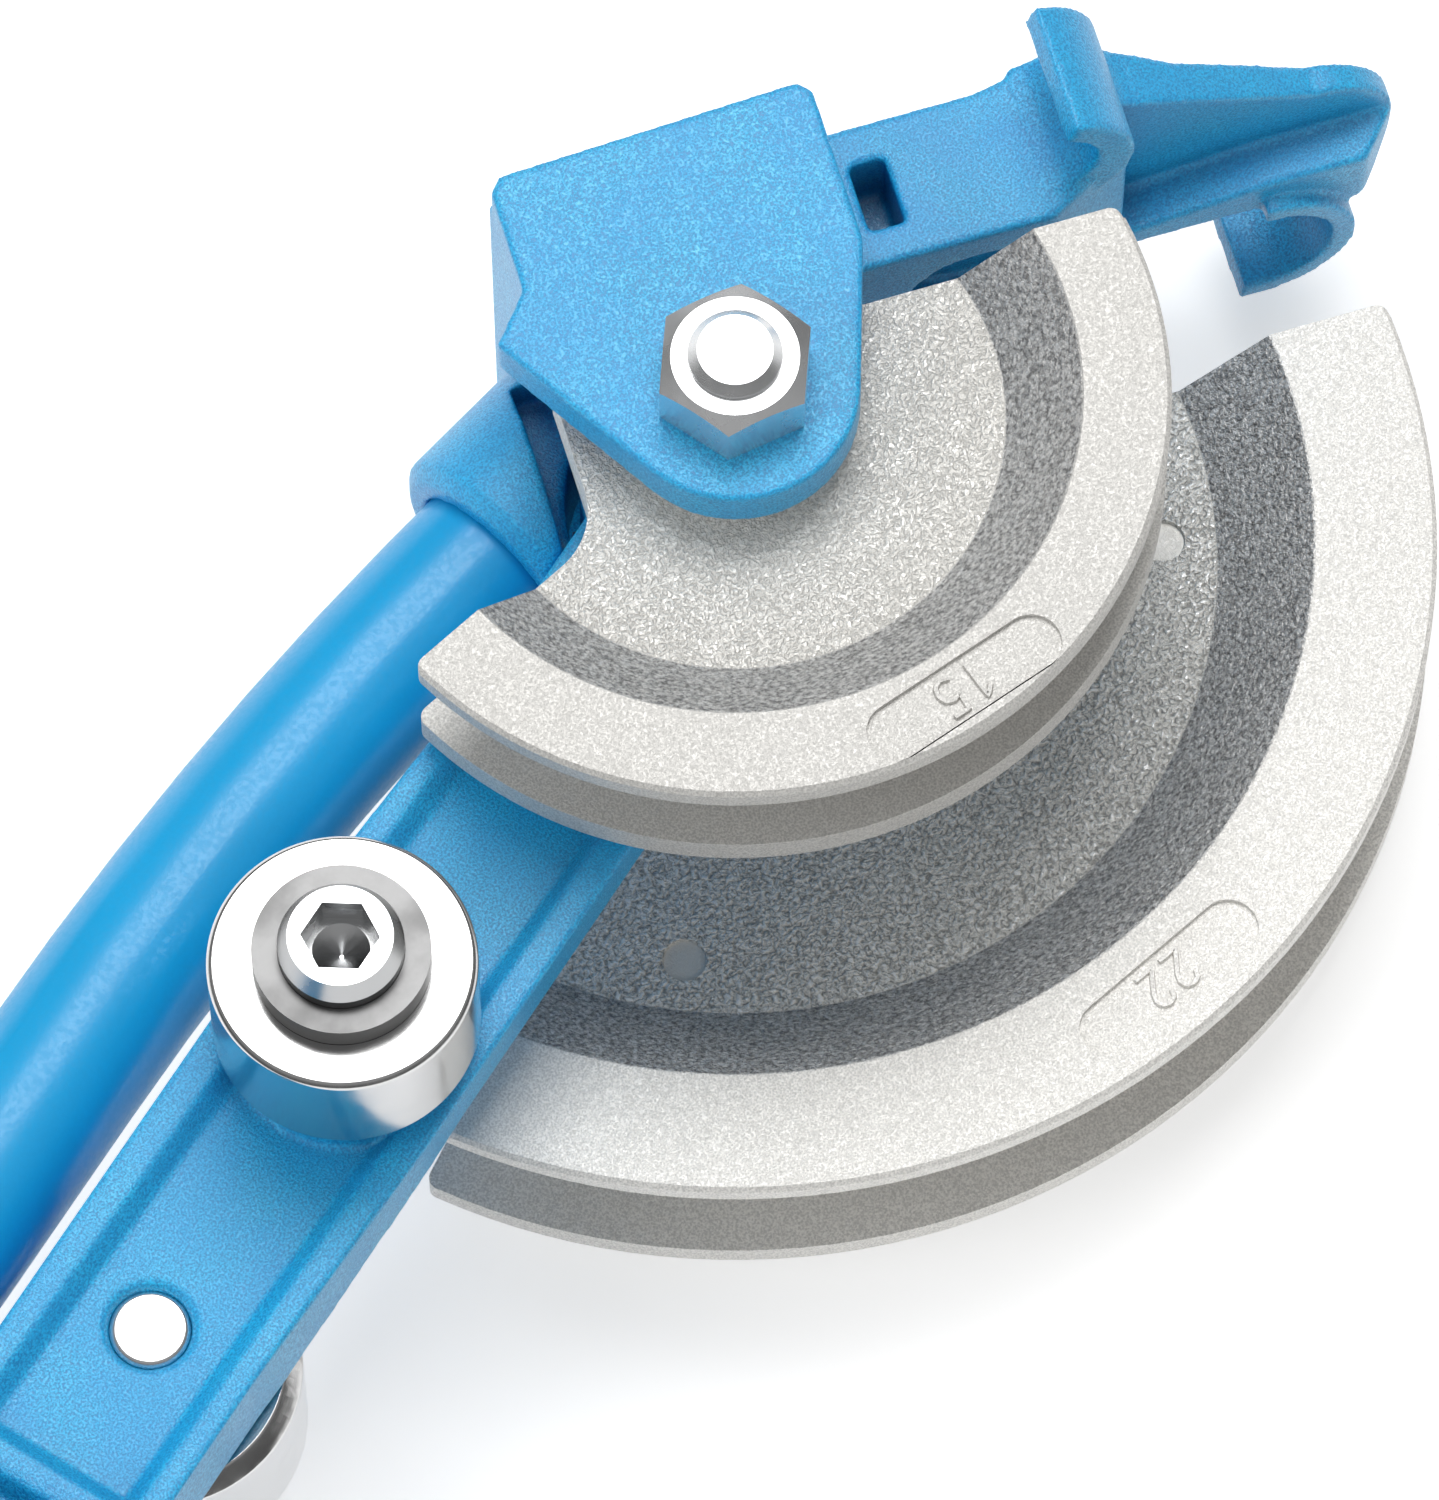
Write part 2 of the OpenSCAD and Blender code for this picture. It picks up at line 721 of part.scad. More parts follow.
module small_former() {
    color(cast_alu)
    bar_frame()
    difference() {
        union() {
            rotate_extrude($fn = 180)
                former_section(small_rim_r, small_rim_w, small_band_w, z_small_face,
                    z_small_web, z_small_web - small_web_t, z_small_rear);
            prism(z_small_hub, z_small_web)
                circle(washer_d / 2);
            prism(z_small_web - over, z_front_cheek)
                circle(small_boss_r);
        }
        groove(small_bend_r, small_seat_r, small_rim_r, z_small_groove);
        prism(z_small_hub - over, z_small_face + over) {
            circle(bolt_d / 2 + fix_clear);
            small_waste();
            former_corners(small_rim_r, small_top, small_end_angle);
        }
        prism(z_small_face - panel_depth, z_small_face + over)
            size_panel(small_rim_r - small_rim_w / 2, small_panel_angle);
        rotate(180 + small_top)
            translate([dowel_r, 0, 0])
                prism(z_front_cheek - dowel_h, z_front_cheek + over)
                    circle(dowel_d / 2 + fix_clear);
    }
}

module large_former() {
    color(cast_alu)
    bar_frame()
    difference() {
        union() {
            rotate_extrude($fn = 180)
                former_section(large_rim_r, large_rim_w, large_band_w, z_large_face,
                    z_large_web + large_web_t, z_large_web, z_large_rear);
            prism(z_large_web, z_large_hub)
                circle(large_hub_r);
        }
        groove(large_bend_r, large_seat_r, large_rim_r, z_large_groove);
        prism(z_large_rear - over, z_large_face + over) {
            circle(bolt_d / 2 + fix_clear);
            former_waste(large_top, large_end_angle, large_hub_r);
            former_corners(large_rim_r, large_top, large_end_angle);
        }
        prism(z_large_face - panel_depth, z_large_face + over)
            size_panel(large_rim_r - large_rim_w / 2, large_panel_angle);
        prism(z_large_web + large_web_t - panel_depth, z_large_face)
            for (i = [0, 1])
                rotate(mark_angle + i * mark_step)
                    translate([mark_r, 0])
                        circle(d = mark_d);
        rotate(180 + small_top)
            translate([dowel_r, 0, 0])
                prism(z_large_web - over, z_large_web + dowel_h)
                    circle(dowel_d / 2 + fix_clear);
    }
}

module former_dowels() {
    color(plated)
    bar_frame()
    rotate(180 + small_top)
        translate([dowel_r, 0, 0])
            for (z = [z_front_cheek, z_large_web])
                prism(z - dowel_h, z + dowel_h)
                    circle(d = dowel_d);
}

// Hexagon prism whose corners are turned off by a cone, on the upper or the lower face
module hex_block(z0, z1, upper) {
    face_r = bolt_af * hex_face;
    corner = bolt_af / 2 / cos(30) + over;
    drop = (corner - face_r) * tan(30);
    intersection() {
        rotate(nut_turn)
            prism(z0, z1) hexagon(bolt_af);
        rotate_extrude()
            polygon(upper
                ? [[0, z0], [corner, z0], [corner, z1 - drop], [face_r, z1], [0, z1]]
                : [[0, z0], [face_r, z0], [corner, z0 + drop], [corner, z1], [0, z1]]);
    }
}

module pivot_bolt() {
    color(plated) {
        hex_block(0, bolt_head_h, false);
        rotate_extrude()
            polygon([[0, over], [bolt_d / 2, over], [bolt_d / 2, z_bolt_end - hub_chamfer],
                [bolt_d / 2 - hub_chamfer, z_bolt_end], [0, z_bolt_end]]);
    }
}

module pivot_nut() {
    color(plated)
    difference() {
        hex_block(z_nut, z_nut + nut_h, true);
        prism(z_nut - over, z_bolt_end)
            circle(bolt_d / 2 + fix_clear);
    }
}

// Flat ring about an axis along Z
module ring(z, h, r_out, r_in) {
    prism(z, z + h)
        difference() {
            circle(r_out);
            circle(r_in);
        }
}

module front_thrust_washer() {
    color(bronze)
        ring(z_small_hub - washer_t, washer_t, washer_d / 2, bolt_d / 2 + run_clear);
}

module rear_thrust_washer() {
    color(bronze)
        ring(z_large_hub, washer_t, washer_d / 2, bolt_d / 2 + run_clear);
}

// Ring-shaped cross section of a handle tube
module tube_section() {
    difference() {
        circle(handle_r);
        circle(handle_r - handle_wall);
    }
}

// Handle tube: a long bend from the socket, then straight to the end
module frame_tube() {
    color(blue)
    difference() {
        translate([bend_x, frame_handle_y - bend_r, frame_tube_z])
            rotate([0, 0, 90]) {
                mirror([0, 1, 0])
                    rotate_extrude(angle = socket_tilt + asin(tube_in / bend_r), $fn = 360)
                        translate([bend_r, 0]) tube_section($fn = 96);
                translate([bend_r, 0, 0])
                    rotate([-90, 0, 0])
                        linear_extrude(handle_reach + bend_x) tube_section();
            }
        pin_place()
            cylinder(d = pin_d + 2 * fix_clear, h = socket_wall + handle_wall + over);
    }
}

module frame_tube_pin() {
    color(plated)
    pin_place()
        translate([0, 0, axle_sink])
            cylinder(d = pin_d, h = socket_wall + handle_wall + over - axle_sink);
}

// Grip about its own axis from the tube's end at zero, with rings turned into it
module grip_body() {
    ring_steps = [[0, 0], [0.1, 1], [0.3, 1], [0.4, 0]];
    rotate_extrude()
        polygon(concat([[handle_r + fix_clear, 0], [grip_r - grip_ring, 0], [grip_r, grip_ring]],
            [for (i = [1 : grip_rings], step = ring_steps)
                [grip_r - grip_ring * step[1], grip_pitch * (i + step[0])]],
            [[grip_r, grip_l - grip_pitch], [grip_r + grip_ring, grip_l - grip_pitch / 2],
                [grip_r + grip_ring, grip_l - grip_ring], [grip_r, grip_l],
                [handle_r + fix_clear, grip_l]]));
}

// End plug about the tube's axis, with its cap beyond zero
module plug_body() {
    cap_r = handle_r + grip_wall / 2;
    stem_r = handle_r - handle_wall - fix_clear;
    rotate_extrude()
        polygon([[0, -plug_cap], [cap_r - hub_chamfer, -plug_cap], [cap_r, hub_chamfer - plug_cap],
            [cap_r, 0], [stem_r, 0], [stem_r, plug_h - hub_chamfer], [stem_r - hub_chamfer, plug_h],
            [0, plug_h]]);
}

// Places a solid drawn along +Z on a handle's far end, pointing back to the pivot
module handle_end(y, z) {
    translate([-handle_reach, y, z])
        rotate([0, 90, 0]) children();
}

module frame_grip() {
    color(dark)
        handle_end(frame_handle_y, frame_tube_z) grip_body();
}

module frame_end_plug() {
    color(dark)
        handle_end(frame_handle_y, frame_tube_z) plug_body();
}

// Outline of the lever's arm, from the hub to the socket
module arm_outline() {
    wide_x = front_roller_x + rail_w * 2;
    polygon([[0, neck_near], [-wide_x / 2, neck_near], [-wide_x, arm_w / 2], [-lever_socket_x, arm_w / 2],
        [-lever_socket_x, -arm_w / 2], [-rear_roller_x, -arm_w / 2], [-wide_x, -neck_far], [0, -neck_far]]);
}

// Side view of the arm: a thin neck, growing to full thickness at the rear roller
module arm_profile() {
    thick_x = rear_roller_x - rear_washer_d / 4;
    polygon([[0, z_neck], [-front_roller_x, z_neck], [-thick_x, z_arm], [-lever_socket_x, z_arm],
        [-lever_socket_x, z_hub_top], [0, z_hub_top]]);
}

// Sunk floor between the rails from x0 to x1, with sloping edges
module arm_floor(x0, x1) {
    near0 = neck_near - rail_w;
    far0 = neck_far - rail_w;
    mid = arm_w / 2 - rail_w;
    skin = over / 100;
    hull() {
        prism(z_hub_top, z_hub_top + over)
            polygon([[-x0, near0], [-x1, mid], [-x1, -mid], [-x0, -far0]]);
        prism(z_floor, z_floor + skin)
            polygon([[-x0 - floor_slope, near0 - floor_slope], [-x1 + floor_slope, mid - floor_slope],
                [-x1 + floor_slope, -mid + floor_slope], [-x0 - floor_slope, -far0 + floor_slope]]);
    }
}

module lever_arm() {
    floor_x = hub_r + rail_w * 1.5;
    color(blue)
    difference() {
        union() {
            difference() {
                union() {
                    intersection() {
                        prism(z_arm, z_hub_top) arm_outline();
                        across(-arm_w, arm_w) arm_profile();
                    }
                    prism(z_hub, z_hub_top) circle(hub_r);
                    translate([-lever_mouth_x, 0, z_arm_mid])
                        rotate([0, -90, 0])
                            socket_body(lever_socket_l + arm_t / 2);
                }
                arm_floor(floor_x, rib_x - rib_w / 2);
                arm_floor(rib_x + rib_w / 2, lever_socket_x - rail_w / 2);
            }
            // Boss under the front roller, flared into the floor
            translate([-front_roller_x, 0, z_floor])
                cylinder(r1 = front_boss_r + floor_slope, r2 = front_boss_r, h = z_front_boss - z_floor);
        }
        prism(z_hub - over, z_hub_top + over)
            circle(bush_r + fix_clear);
        translate([-front_roller_x, 0, 0])
            prism(z_neck - over, z_front_boss + over)
                circle(screw_d / 2 + fix_clear);
        translate([-rear_roller_x, 0, 0]) {
            prism(z_arm - over, z_hub_top + over)
                circle(axle_d / 2 + fix_clear);
            prism(z_floor - axle_sink * 2, z_hub_top + over)
                circle(axle_d / 2 + axle_pocket_clear);
        }
        translate([-lever_mouth_x - over, 0, z_arm_mid])
            rotate([0, 90, 0])
                cylinder(r = socket_bore, h = lever_socket_l + over - socket_wall);
        translate([-lever_mouth_x + pin_back * 2, 0, z_arm_mid - socket_r])
            cylinder(d = pin_d + 2 * fix_clear, h = socket_wall + over);
    }
}

module pivot_bush() {
    color(bronze)
        ring(z_hub, hub_h, bush_r, bolt_d / 2 + run_clear);
}

module lever_tube() {
    inner_x = lever_socket_x + socket_wall + tube_back;
    color(blue)
    difference() {
        translate([-handle_reach, 0, z_arm_mid])
            rotate([0, 90, 0])
                cylinder(r = handle_r, h = handle_reach - inner_x);
        translate([-handle_reach - over, 0, z_arm_mid])
            rotate([0, 90, 0])
                cylinder(r = handle_r - handle_wall, h = handle_reach - inner_x + 2 * over);
        translate([-lever_mouth_x + pin_back * 2, 0, z_arm_mid - socket_r])
            cylinder(d = pin_d + 2 * fix_clear, h = socket_wall + handle_wall + over);
    }
}

module lever_tube_pin() {
    color(plated)
    translate([-lever_mouth_x + pin_back * 2, 0, z_arm_mid - socket_r + axle_sink])
        cylinder(d = pin_d, h = socket_wall + handle_wall + over - axle_sink);
}

module lever_grip() {
    color(dark)
        handle_end(0, z_arm_mid) grip_body();
}

module lever_end_plug() {
    color(dark)
        handle_end(0, z_arm_mid) plug_body();
}

// Roller about its own axis, with chamfered edges
module roller_body(r, h, edge, bore) {
    rotate_extrude()
        polygon([[bore, 0], [r - edge, 0], [r, edge], [r, h - edge], [r - edge, h], [bore, h]]);
}

module roller_sleeve() {
    color(plated)
    translate([-front_roller_x, 0, 0])
        difference() {
            union() {
                prism(z_front_boss, z_flange) circle(d = sleeve_d);
                prism(z_flange, z_flange + sleeve_flange_t) circle(d = sleeve_flange_d);
            }
            prism(z_front_boss - over, z_flange + sleeve_flange_t + over)
                circle(screw_d / 2 + run_clear);
            prism(z_screw_seat, z_flange + sleeve_flange_t + over)
                circle(screw_head_d / 2 + run_clear);
        }
}

module roller_screw() {
    z_head = z_screw_seat + screw_head_h;
    point_r = screw_af / 2 - seat_step;
    color(plated)
    translate([-front_roller_x, 0, 0])
        difference() {
            rotate_extrude()
                polygon([[0, z_neck + screw_tip], [screw_d / 2 - screw_tip, z_neck + screw_tip],
                    [screw_d / 2, z_neck + 2 * screw_tip], [screw_d / 2, z_screw_seat],
                    [screw_head_d / 2, z_screw_seat], [screw_head_d / 2, z_head - 2 * screw_tip],
                    [screw_head_d / 2 - screw_tip, z_head], [0, z_head]]);
            prism(z_head - screw_socket_h, z_head + over)
                hexagon(screw_af);
            // Drill point under the hexagon socket
            translate([0, 0, z_head - screw_socket_h + seat_step - point_r * drill_slope])
                cylinder(r1 = seat_step, r2 = point_r, h = point_r * drill_slope);
        }
}

module front_roller() {
    color(plated)
    translate([-front_roller_x, 0, z_front_roller])
        roller_body(front_roller_r, front_roller_h, rim_edge, sleeve_d / 2 + run_clear);
}

module rear_axle() {
    z_low = z_axle_head - axle_head_h;
    color(plated)
    translate([-rear_roller_x, 0, 0])
        rotate_extrude()
            polygon([[0, z_low], [axle_head_d / 2 - rim_edge, z_low],
                [axle_head_d / 2, z_low + rim_edge], [axle_head_d / 2, z_axle_head],
                [axle_d / 2, z_axle_head], [axle_d / 2, z_floor - axle_sink - rim_edge],
                [axle_d / 2 - rim_edge, z_floor - axle_sink], [0, z_floor - axle_sink]]);
}

module rear_roller_washer() {
    color(plated)
    translate([-rear_roller_x, 0, 0])
        ring(z_rear_washer, rear_washer_t, rear_washer_d / 2, axle_d / 2 + fix_clear);
}

module rear_roller() {
    color(plated)
    translate([-rear_roller_x, 0, z_rear_roller])
        roller_body(rear_roller_r, rear_roller_h, rear_roller_edge, axle_d / 2 + run_clear);
}

head_casting();
small_former();
large_former();
former_dowels();
pivot_bolt();
pivot_nut();
front_thrust_washer();
rear_thrust_washer();
frame_tube();
frame_tube_pin();
frame_grip();
frame_end_plug();
lever_arm();
pivot_bush();
lever_tube();
lever_tube_pin();
lever_grip();
lever_end_plug();
roller_sleeve();
roller_screw();
front_roller();
rear_axle();
rear_roller_washer();
rear_roller();
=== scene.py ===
import math

import bpy
import numpy as np
from mathutils import Matrix, Vector


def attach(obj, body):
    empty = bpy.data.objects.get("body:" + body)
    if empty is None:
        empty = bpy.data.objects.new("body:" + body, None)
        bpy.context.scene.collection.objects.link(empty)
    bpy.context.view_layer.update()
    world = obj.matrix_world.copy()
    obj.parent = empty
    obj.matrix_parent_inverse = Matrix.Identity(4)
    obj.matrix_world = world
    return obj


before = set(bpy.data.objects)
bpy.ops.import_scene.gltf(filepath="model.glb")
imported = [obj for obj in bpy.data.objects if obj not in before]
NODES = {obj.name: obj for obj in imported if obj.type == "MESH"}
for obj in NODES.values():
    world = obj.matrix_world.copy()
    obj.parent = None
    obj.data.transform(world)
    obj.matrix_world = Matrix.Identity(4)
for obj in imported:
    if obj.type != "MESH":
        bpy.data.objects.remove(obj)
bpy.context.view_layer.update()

bl_info = {
    "name": "Tube bending pliers",
    "version": (1, 0, 0),
    "blender": (4, 5, 0),
    "location": "View3D > Sidebar > Tube bender",
    "description": "Dresses the two-former tube bender and sets its studio stage",
    "category": "Object",
}

MM = 0.001
WHITE = (1.0, 1.0, 1.0, 1.0)

# Camera at the photograph's angle: place in metres, lens and sensor in millimetres
CAMERA_PLACE = (-0.6056, -0.3787, 1.7088)
CAMERA_FORWARD = (0.3190, 0.2009, -0.9262)
CAMERA_UP = (0.7837, 0.4936, 0.3770)
CAMERA_LENS = 288.0
CAMERA_SENSOR = 36.0
CAMERA_FAR = 50.0

# Axes of the two rollers, parallel to Z
FRONT_ROLLER_AXIS = (-0.1064, 0.0)
REAR_ROLLER_AXIS = (-0.1595, 0.0)

# Mesh finish: merge distance, largest bend in a flat, rounded edges, smoothing and thinning of castings
MERGE_STEP = 0.002 * MM
FLAT_ANGLE = 0.4
EDGE_ANGLE = 30.0
EDGE_STEPS = 2
TUBE_EDGE = 0.3 * MM
GRIP_EDGE = 0.4 * MM
PLUG_EDGE = 0.5 * MM
CAST_SMOOTH = 0.5
CAST_KEEP = 0.35

# Grain: scales of folds and mottle beside the fine noise, width of a crease and span of the noise
FOLD_SCALE = 0.8
MOTTLE_SCALE = 0.03
CREASE_WIDTH = 0.11
GRAIN_SPAN = (0.32, 0.68)

# Bump strength on cast and coated surfaces, and on turned and moulded ones
CAST_BUMP = 0.8
FINE_BUMP = 0.5

# Coat: share of creases, darkening of pits, deep shade of the mottle, and change of roughness by grain
COAT_PEBBLE = 0.1
COAT_PIT = 0.32
COAT_DEEP = 0.84
COAT_MOTTLE = 0.30
MOTTLE_SPAN = (0.35, 0.7)
PIT_ROUGH = 0.07
FLECK_GLOSS = 0.05

# Painted shade in the coat's corners and crevices, from local ambient occlusion: span of the openness,
# strength, shade and samples
PAINTED_SHADE_SPAN = (0.40, 0.96)
PAINTED_SHADE_STRENGTH = 0.75
PAINTED_SHADE_SHARE = 0.30
PAINTED_SHADE_SAMPLES = 6

# Formers: grain scale and share of creases on rim and band, darkest and lightest shares of their colours,
# roughness in hollows and on crests, height of the rim's grain, and the bump's depth
RIM_GRAIN = {"Scale": 2900.0, "Pebble": 0.1}
BAND_GRAIN = {"Scale": 1250.0, "Pebble": 0.3}
RIM_RANGE = (0.80, 1.18)
# The band's range is partly its own rough tone, partly painted shade in creases and painted light on crests
BAND_RANGE = (0.40, 1.60)
FORMER_ROUGH = (0.62, 0.46)
FORMER_METALLIC = 0.45
FORMER_DEPTH = 0.17 * MM
RIM_HEIGHT = 0.3
ZONE_EDGE = 0.4 * MM

# Round marks in a former's web: radius, soft edge and shade
MARK_RADIUS = 3.35 * MM
MARK_EDGE = 0.2 * MM
MARK_SHADE = 0.92

# Each former: radii of web and rim, shares of the rim, band and web greys, where the two formers differ as
# painted light (the large one, shaded by the small one, is lighter), the web's darkest and lightest shares,
# partly painted shade in creases and painted light on crests, its pebbles' scale, share of creases and height,
# and the places of its round marks
FORMERS = (
    {
        "name": "small_former",
        "radii": (40.2 * MM, 51.3 * MM),
        "grey_shares_with_painted_light": (0.785, 1.08, 1.20),
        "web_range": (0.72, 1.20),
        "relief": (1400.0, 0.4, 1.6),
        "marks": (),
    },
    {
        "name": "large_former",
        "radii": (73.6 * MM, 87.8 * MM),
        "grey_shares_with_painted_light": (0.98, 1.14, 1.33),
        "web_range": (0.44, 1.32),
        "relief": (1200.0, 0.4, 3.0),
        "marks": ((37.73 * MM, -53.29 * MM), (-58.89 * MM, -28.22 * MM)),
    },
)

# Metal: scale and detail of smears, their spans in colour and gloss, their roughness, span of upright walls
# that take painted reflection shade
SMEAR_SCALE = 90.0
SMEAR_DETAIL = 4.0
SMEAR_SPAN = (0.3, 0.7)
GLOSS_SPAN = (0.3, 0.75)
SMEAR_ROUGH = 0.12
PAINTED_WALL_SPAN = (0.25, 0.9)

# Rubber and plastic: darkest and lightest shares of the colour, span and creases of the grain, roughness by it
DULL_RANGE = (0.7, 1.35)
DULL_SPAN = (0.2, 0.8)
DULL_PEBBLE = 0.5
DULL_ROUGH = 0.1
DULL_GLOSS = 0.08

# Size numbers: width, advance and point step of a digit in shares of its height, profile across a stroke in
# millimetres, strokes in a cell 1 high, and each number's piece, former, digits, angle, radius and floor
DIGIT_WIDTH = 0.6
DIGIT_ADVANCE = 0.8
DIGIT_STEP = 0.06
DIGIT_PROFILE = ((0.50, -0.1), (0.30, 0.65), (-0.30, 0.65), (-0.50, -0.1))
STROKES = {
    "1": ((0.12, 0.78), (0.34, 1.0), (0.34, 0.0)),
    "2": (
        (0.05, 0.76), (0.13, 0.94), (0.30, 1.0), (0.48, 0.94),
        (0.55, 0.76), (0.47, 0.56), (0.04, 0.0), (0.58, 0.0)),
    "5": (
        (0.54, 1.0), (0.12, 1.0), (0.08, 0.54), (0.28, 0.62), (0.48, 0.54),
        (0.56, 0.32), (0.48, 0.09), (0.28, 0.0), (0.06, 0.08)),
}
PANELS = (
    ("small_size_number", "small_former", "15", -112.5, 57.8 * MM, 93.5 * MM),
    ("large_size_number", "large_former", "22", -106.0, 97.0 * MM, 41.0 * MM),
)

# Floor: half width, share of its colour in bounced light, and distances between which its glow rises
FLOOR_REACH = 4.0
FLOOR_BOUNCE = 0.6
FLOOR_NEAR = 0.7
FLOOR_FAR = 1.6

# Surround by height: span and shades of the gradient, and the upper edge of the white band at the horizon
SKY_SPAN = (0.05, 0.95)
SKY_SHADES = (0.18, 1.0)
HORIZON_EDGE = (0.08, 0.14)

# Lamps: name, direction from the head, distance, size, setting with the power, and whether mirrors show it
LAMP_TARGET = (0.0, -0.02, 0.06)
LAMPS = (
    ("overhead_lamp", (0.33, 0.21, 0.92), 1.6, 1.0, "key_power", True),
    ("left_lamp", (-0.75, 0.55, 0.6), 1.5, 0.9, "side_power", False),
    ("fill_lamp", (-0.45, -0.85, 0.6), 1.7, 1.2, "fill_power", False),
)


class CastingSettings(bpy.types.PropertyGroup):
    """Sizes and colours of the painted castings and tubes."""

    casting_blue: bpy.props.FloatVectorProperty(
        name="Casting blue", description="Powder coat on the head and the lever arm",
        subtype="COLOR", size=3, min=0.0, max=1.0, default=(0.006, 0.385, 0.920))
    fleck_blue: bpy.props.FloatVectorProperty(
        name="Fleck", description="Light flecks in the textured powder coat",
        subtype="COLOR", size=3, min=0.0, max=1.0, default=(0.022, 0.560, 1.000))
    tube_blue: bpy.props.FloatVectorProperty(
        name="Tube blue", description="Smooth powder coat on the two handle tubes",
        subtype="COLOR", size=3, min=0.0, max=1.0, default=(0.006, 0.385, 0.770))
    cast_step: bpy.props.FloatProperty(
        name="Casting step", description="Grid step that rounds the castings' edges",
        unit="LENGTH", default=0.6 * MM, min=0.4 * MM, max=2.0 * MM)
    cast_rounds: bpy.props.IntProperty(
        name="Head rounds", description="Passes that smooth the head's edges",
        default=6, min=0, max=30)
    arm_rounds: bpy.props.IntProperty(
        name="Arm rounds", description="Passes that smooth the lever arm's edges",
        default=3, min=0, max=30)


class MetalSettings(bpy.types.PropertyGroup):
    """Colours and edges of the bare metal pieces."""

    rim_grey: bpy.props.FloatVectorProperty(
        name="Rim", description="Bead-blasted rim of the formers",
        subtype="COLOR", size=3, min=0.0, max=1.0, default=(0.86, 0.845, 0.81))
    band_grey: bpy.props.FloatVectorProperty(
        name="Band", description="Rough sloping band inside the rim",
        subtype="COLOR", size=3, min=0.0, max=1.0, default=(0.44, 0.433, 0.423))
    web_grey: bpy.props.FloatVectorProperty(
        name="Web", description="Pebbled web of the formers",
        subtype="COLOR", size=3, min=0.0, max=1.0, default=(0.66, 0.645, 0.61))
    zinc_grey: bpy.props.FloatVectorProperty(
        name="Zinc", description="Bright zinc plating",
        subtype="COLOR", size=3, min=0.0, max=1.0, default=(0.80, 0.81, 0.82))
    steel_grey: bpy.props.FloatVectorProperty(
        name="Turned steel", description="Turned rollers",
        subtype="COLOR", size=3, min=0.0, max=1.0, default=(0.66, 0.66, 0.66))
    satin_grey: bpy.props.FloatVectorProperty(
        name="Satin steel", description="Dull sleeve of the front roller",
        subtype="COLOR", size=3, min=0.0, max=1.0, default=(0.30, 0.30, 0.30))
    bronze_brown: bpy.props.FloatVectorProperty(
        name="Bronze", description="Bush and thrust washers",
        subtype="COLOR", size=3, min=0.0, max=1.0, default=(0.45, 0.24, 0.08))
    former_edge: bpy.props.FloatProperty(
        name="Former edge", description="Edge radius of the formers",
        unit="LENGTH", default=0.35 * MM, min=0.05 * MM, max=1.0 * MM)
    number_height: bpy.props.FloatProperty(
        name="Number height", description="Height of the size numbers in the rim panels",
        unit="LENGTH", default=6.0 * MM, min=2.0 * MM, max=7.0 * MM)
    plated_edge: bpy.props.FloatProperty(
        name="Plated edge", description="Edge radius of the plated and turned pieces",
        unit="LENGTH", default=0.3 * MM, min=0.05 * MM, max=1.0 * MM)


class GripSettings(bpy.types.PropertyGroup):
    """Colours of the rubber grips and the end plugs."""

    rubber_black: bpy.props.FloatVectorProperty(
        name="Rubber", description="Grip rubber",
        subtype="COLOR", size=3, min=0.0, max=1.0, default=(0.016, 0.016, 0.018))
    plug_black: bpy.props.FloatVectorProperty(
        name="Plug", description="End plug plastic",
        subtype="COLOR", size=3, min=0.0, max=1.0, default=(0.022, 0.022, 0.024))


class StageSettings(bpy.types.PropertyGroup):
    """Floor and light levels."""

    floor_white: bpy.props.FloatVectorProperty(
        name="Floor", description="Floor colour",
        subtype="COLOR", size=3, min=0.0, max=1.0, default=(0.90, 0.90, 0.90))
    floor_glow: bpy.props.FloatProperty(
        name="Floor glow", description="Lift of the floor to white", default=0.45, min=0.0, max=1.0)
    key_power: bpy.props.FloatProperty(
        name="Overhead lamp", description="Power of the large lamp above", default=15.5, min=0.0)
    side_power: bpy.props.FloatProperty(
        name="Side lamp", description="Power of the lamp at the left", default=7.0, min=0.0)
    fill_power: bpy.props.FloatProperty(
        name="Fill lamp", description="Power of the soft lamp at the lower right", default=5.3, min=0.0)
    sky_level: bpy.props.FloatProperty(
        name="Surround", description="Light level of the surround", default=0.36, min=0.0)


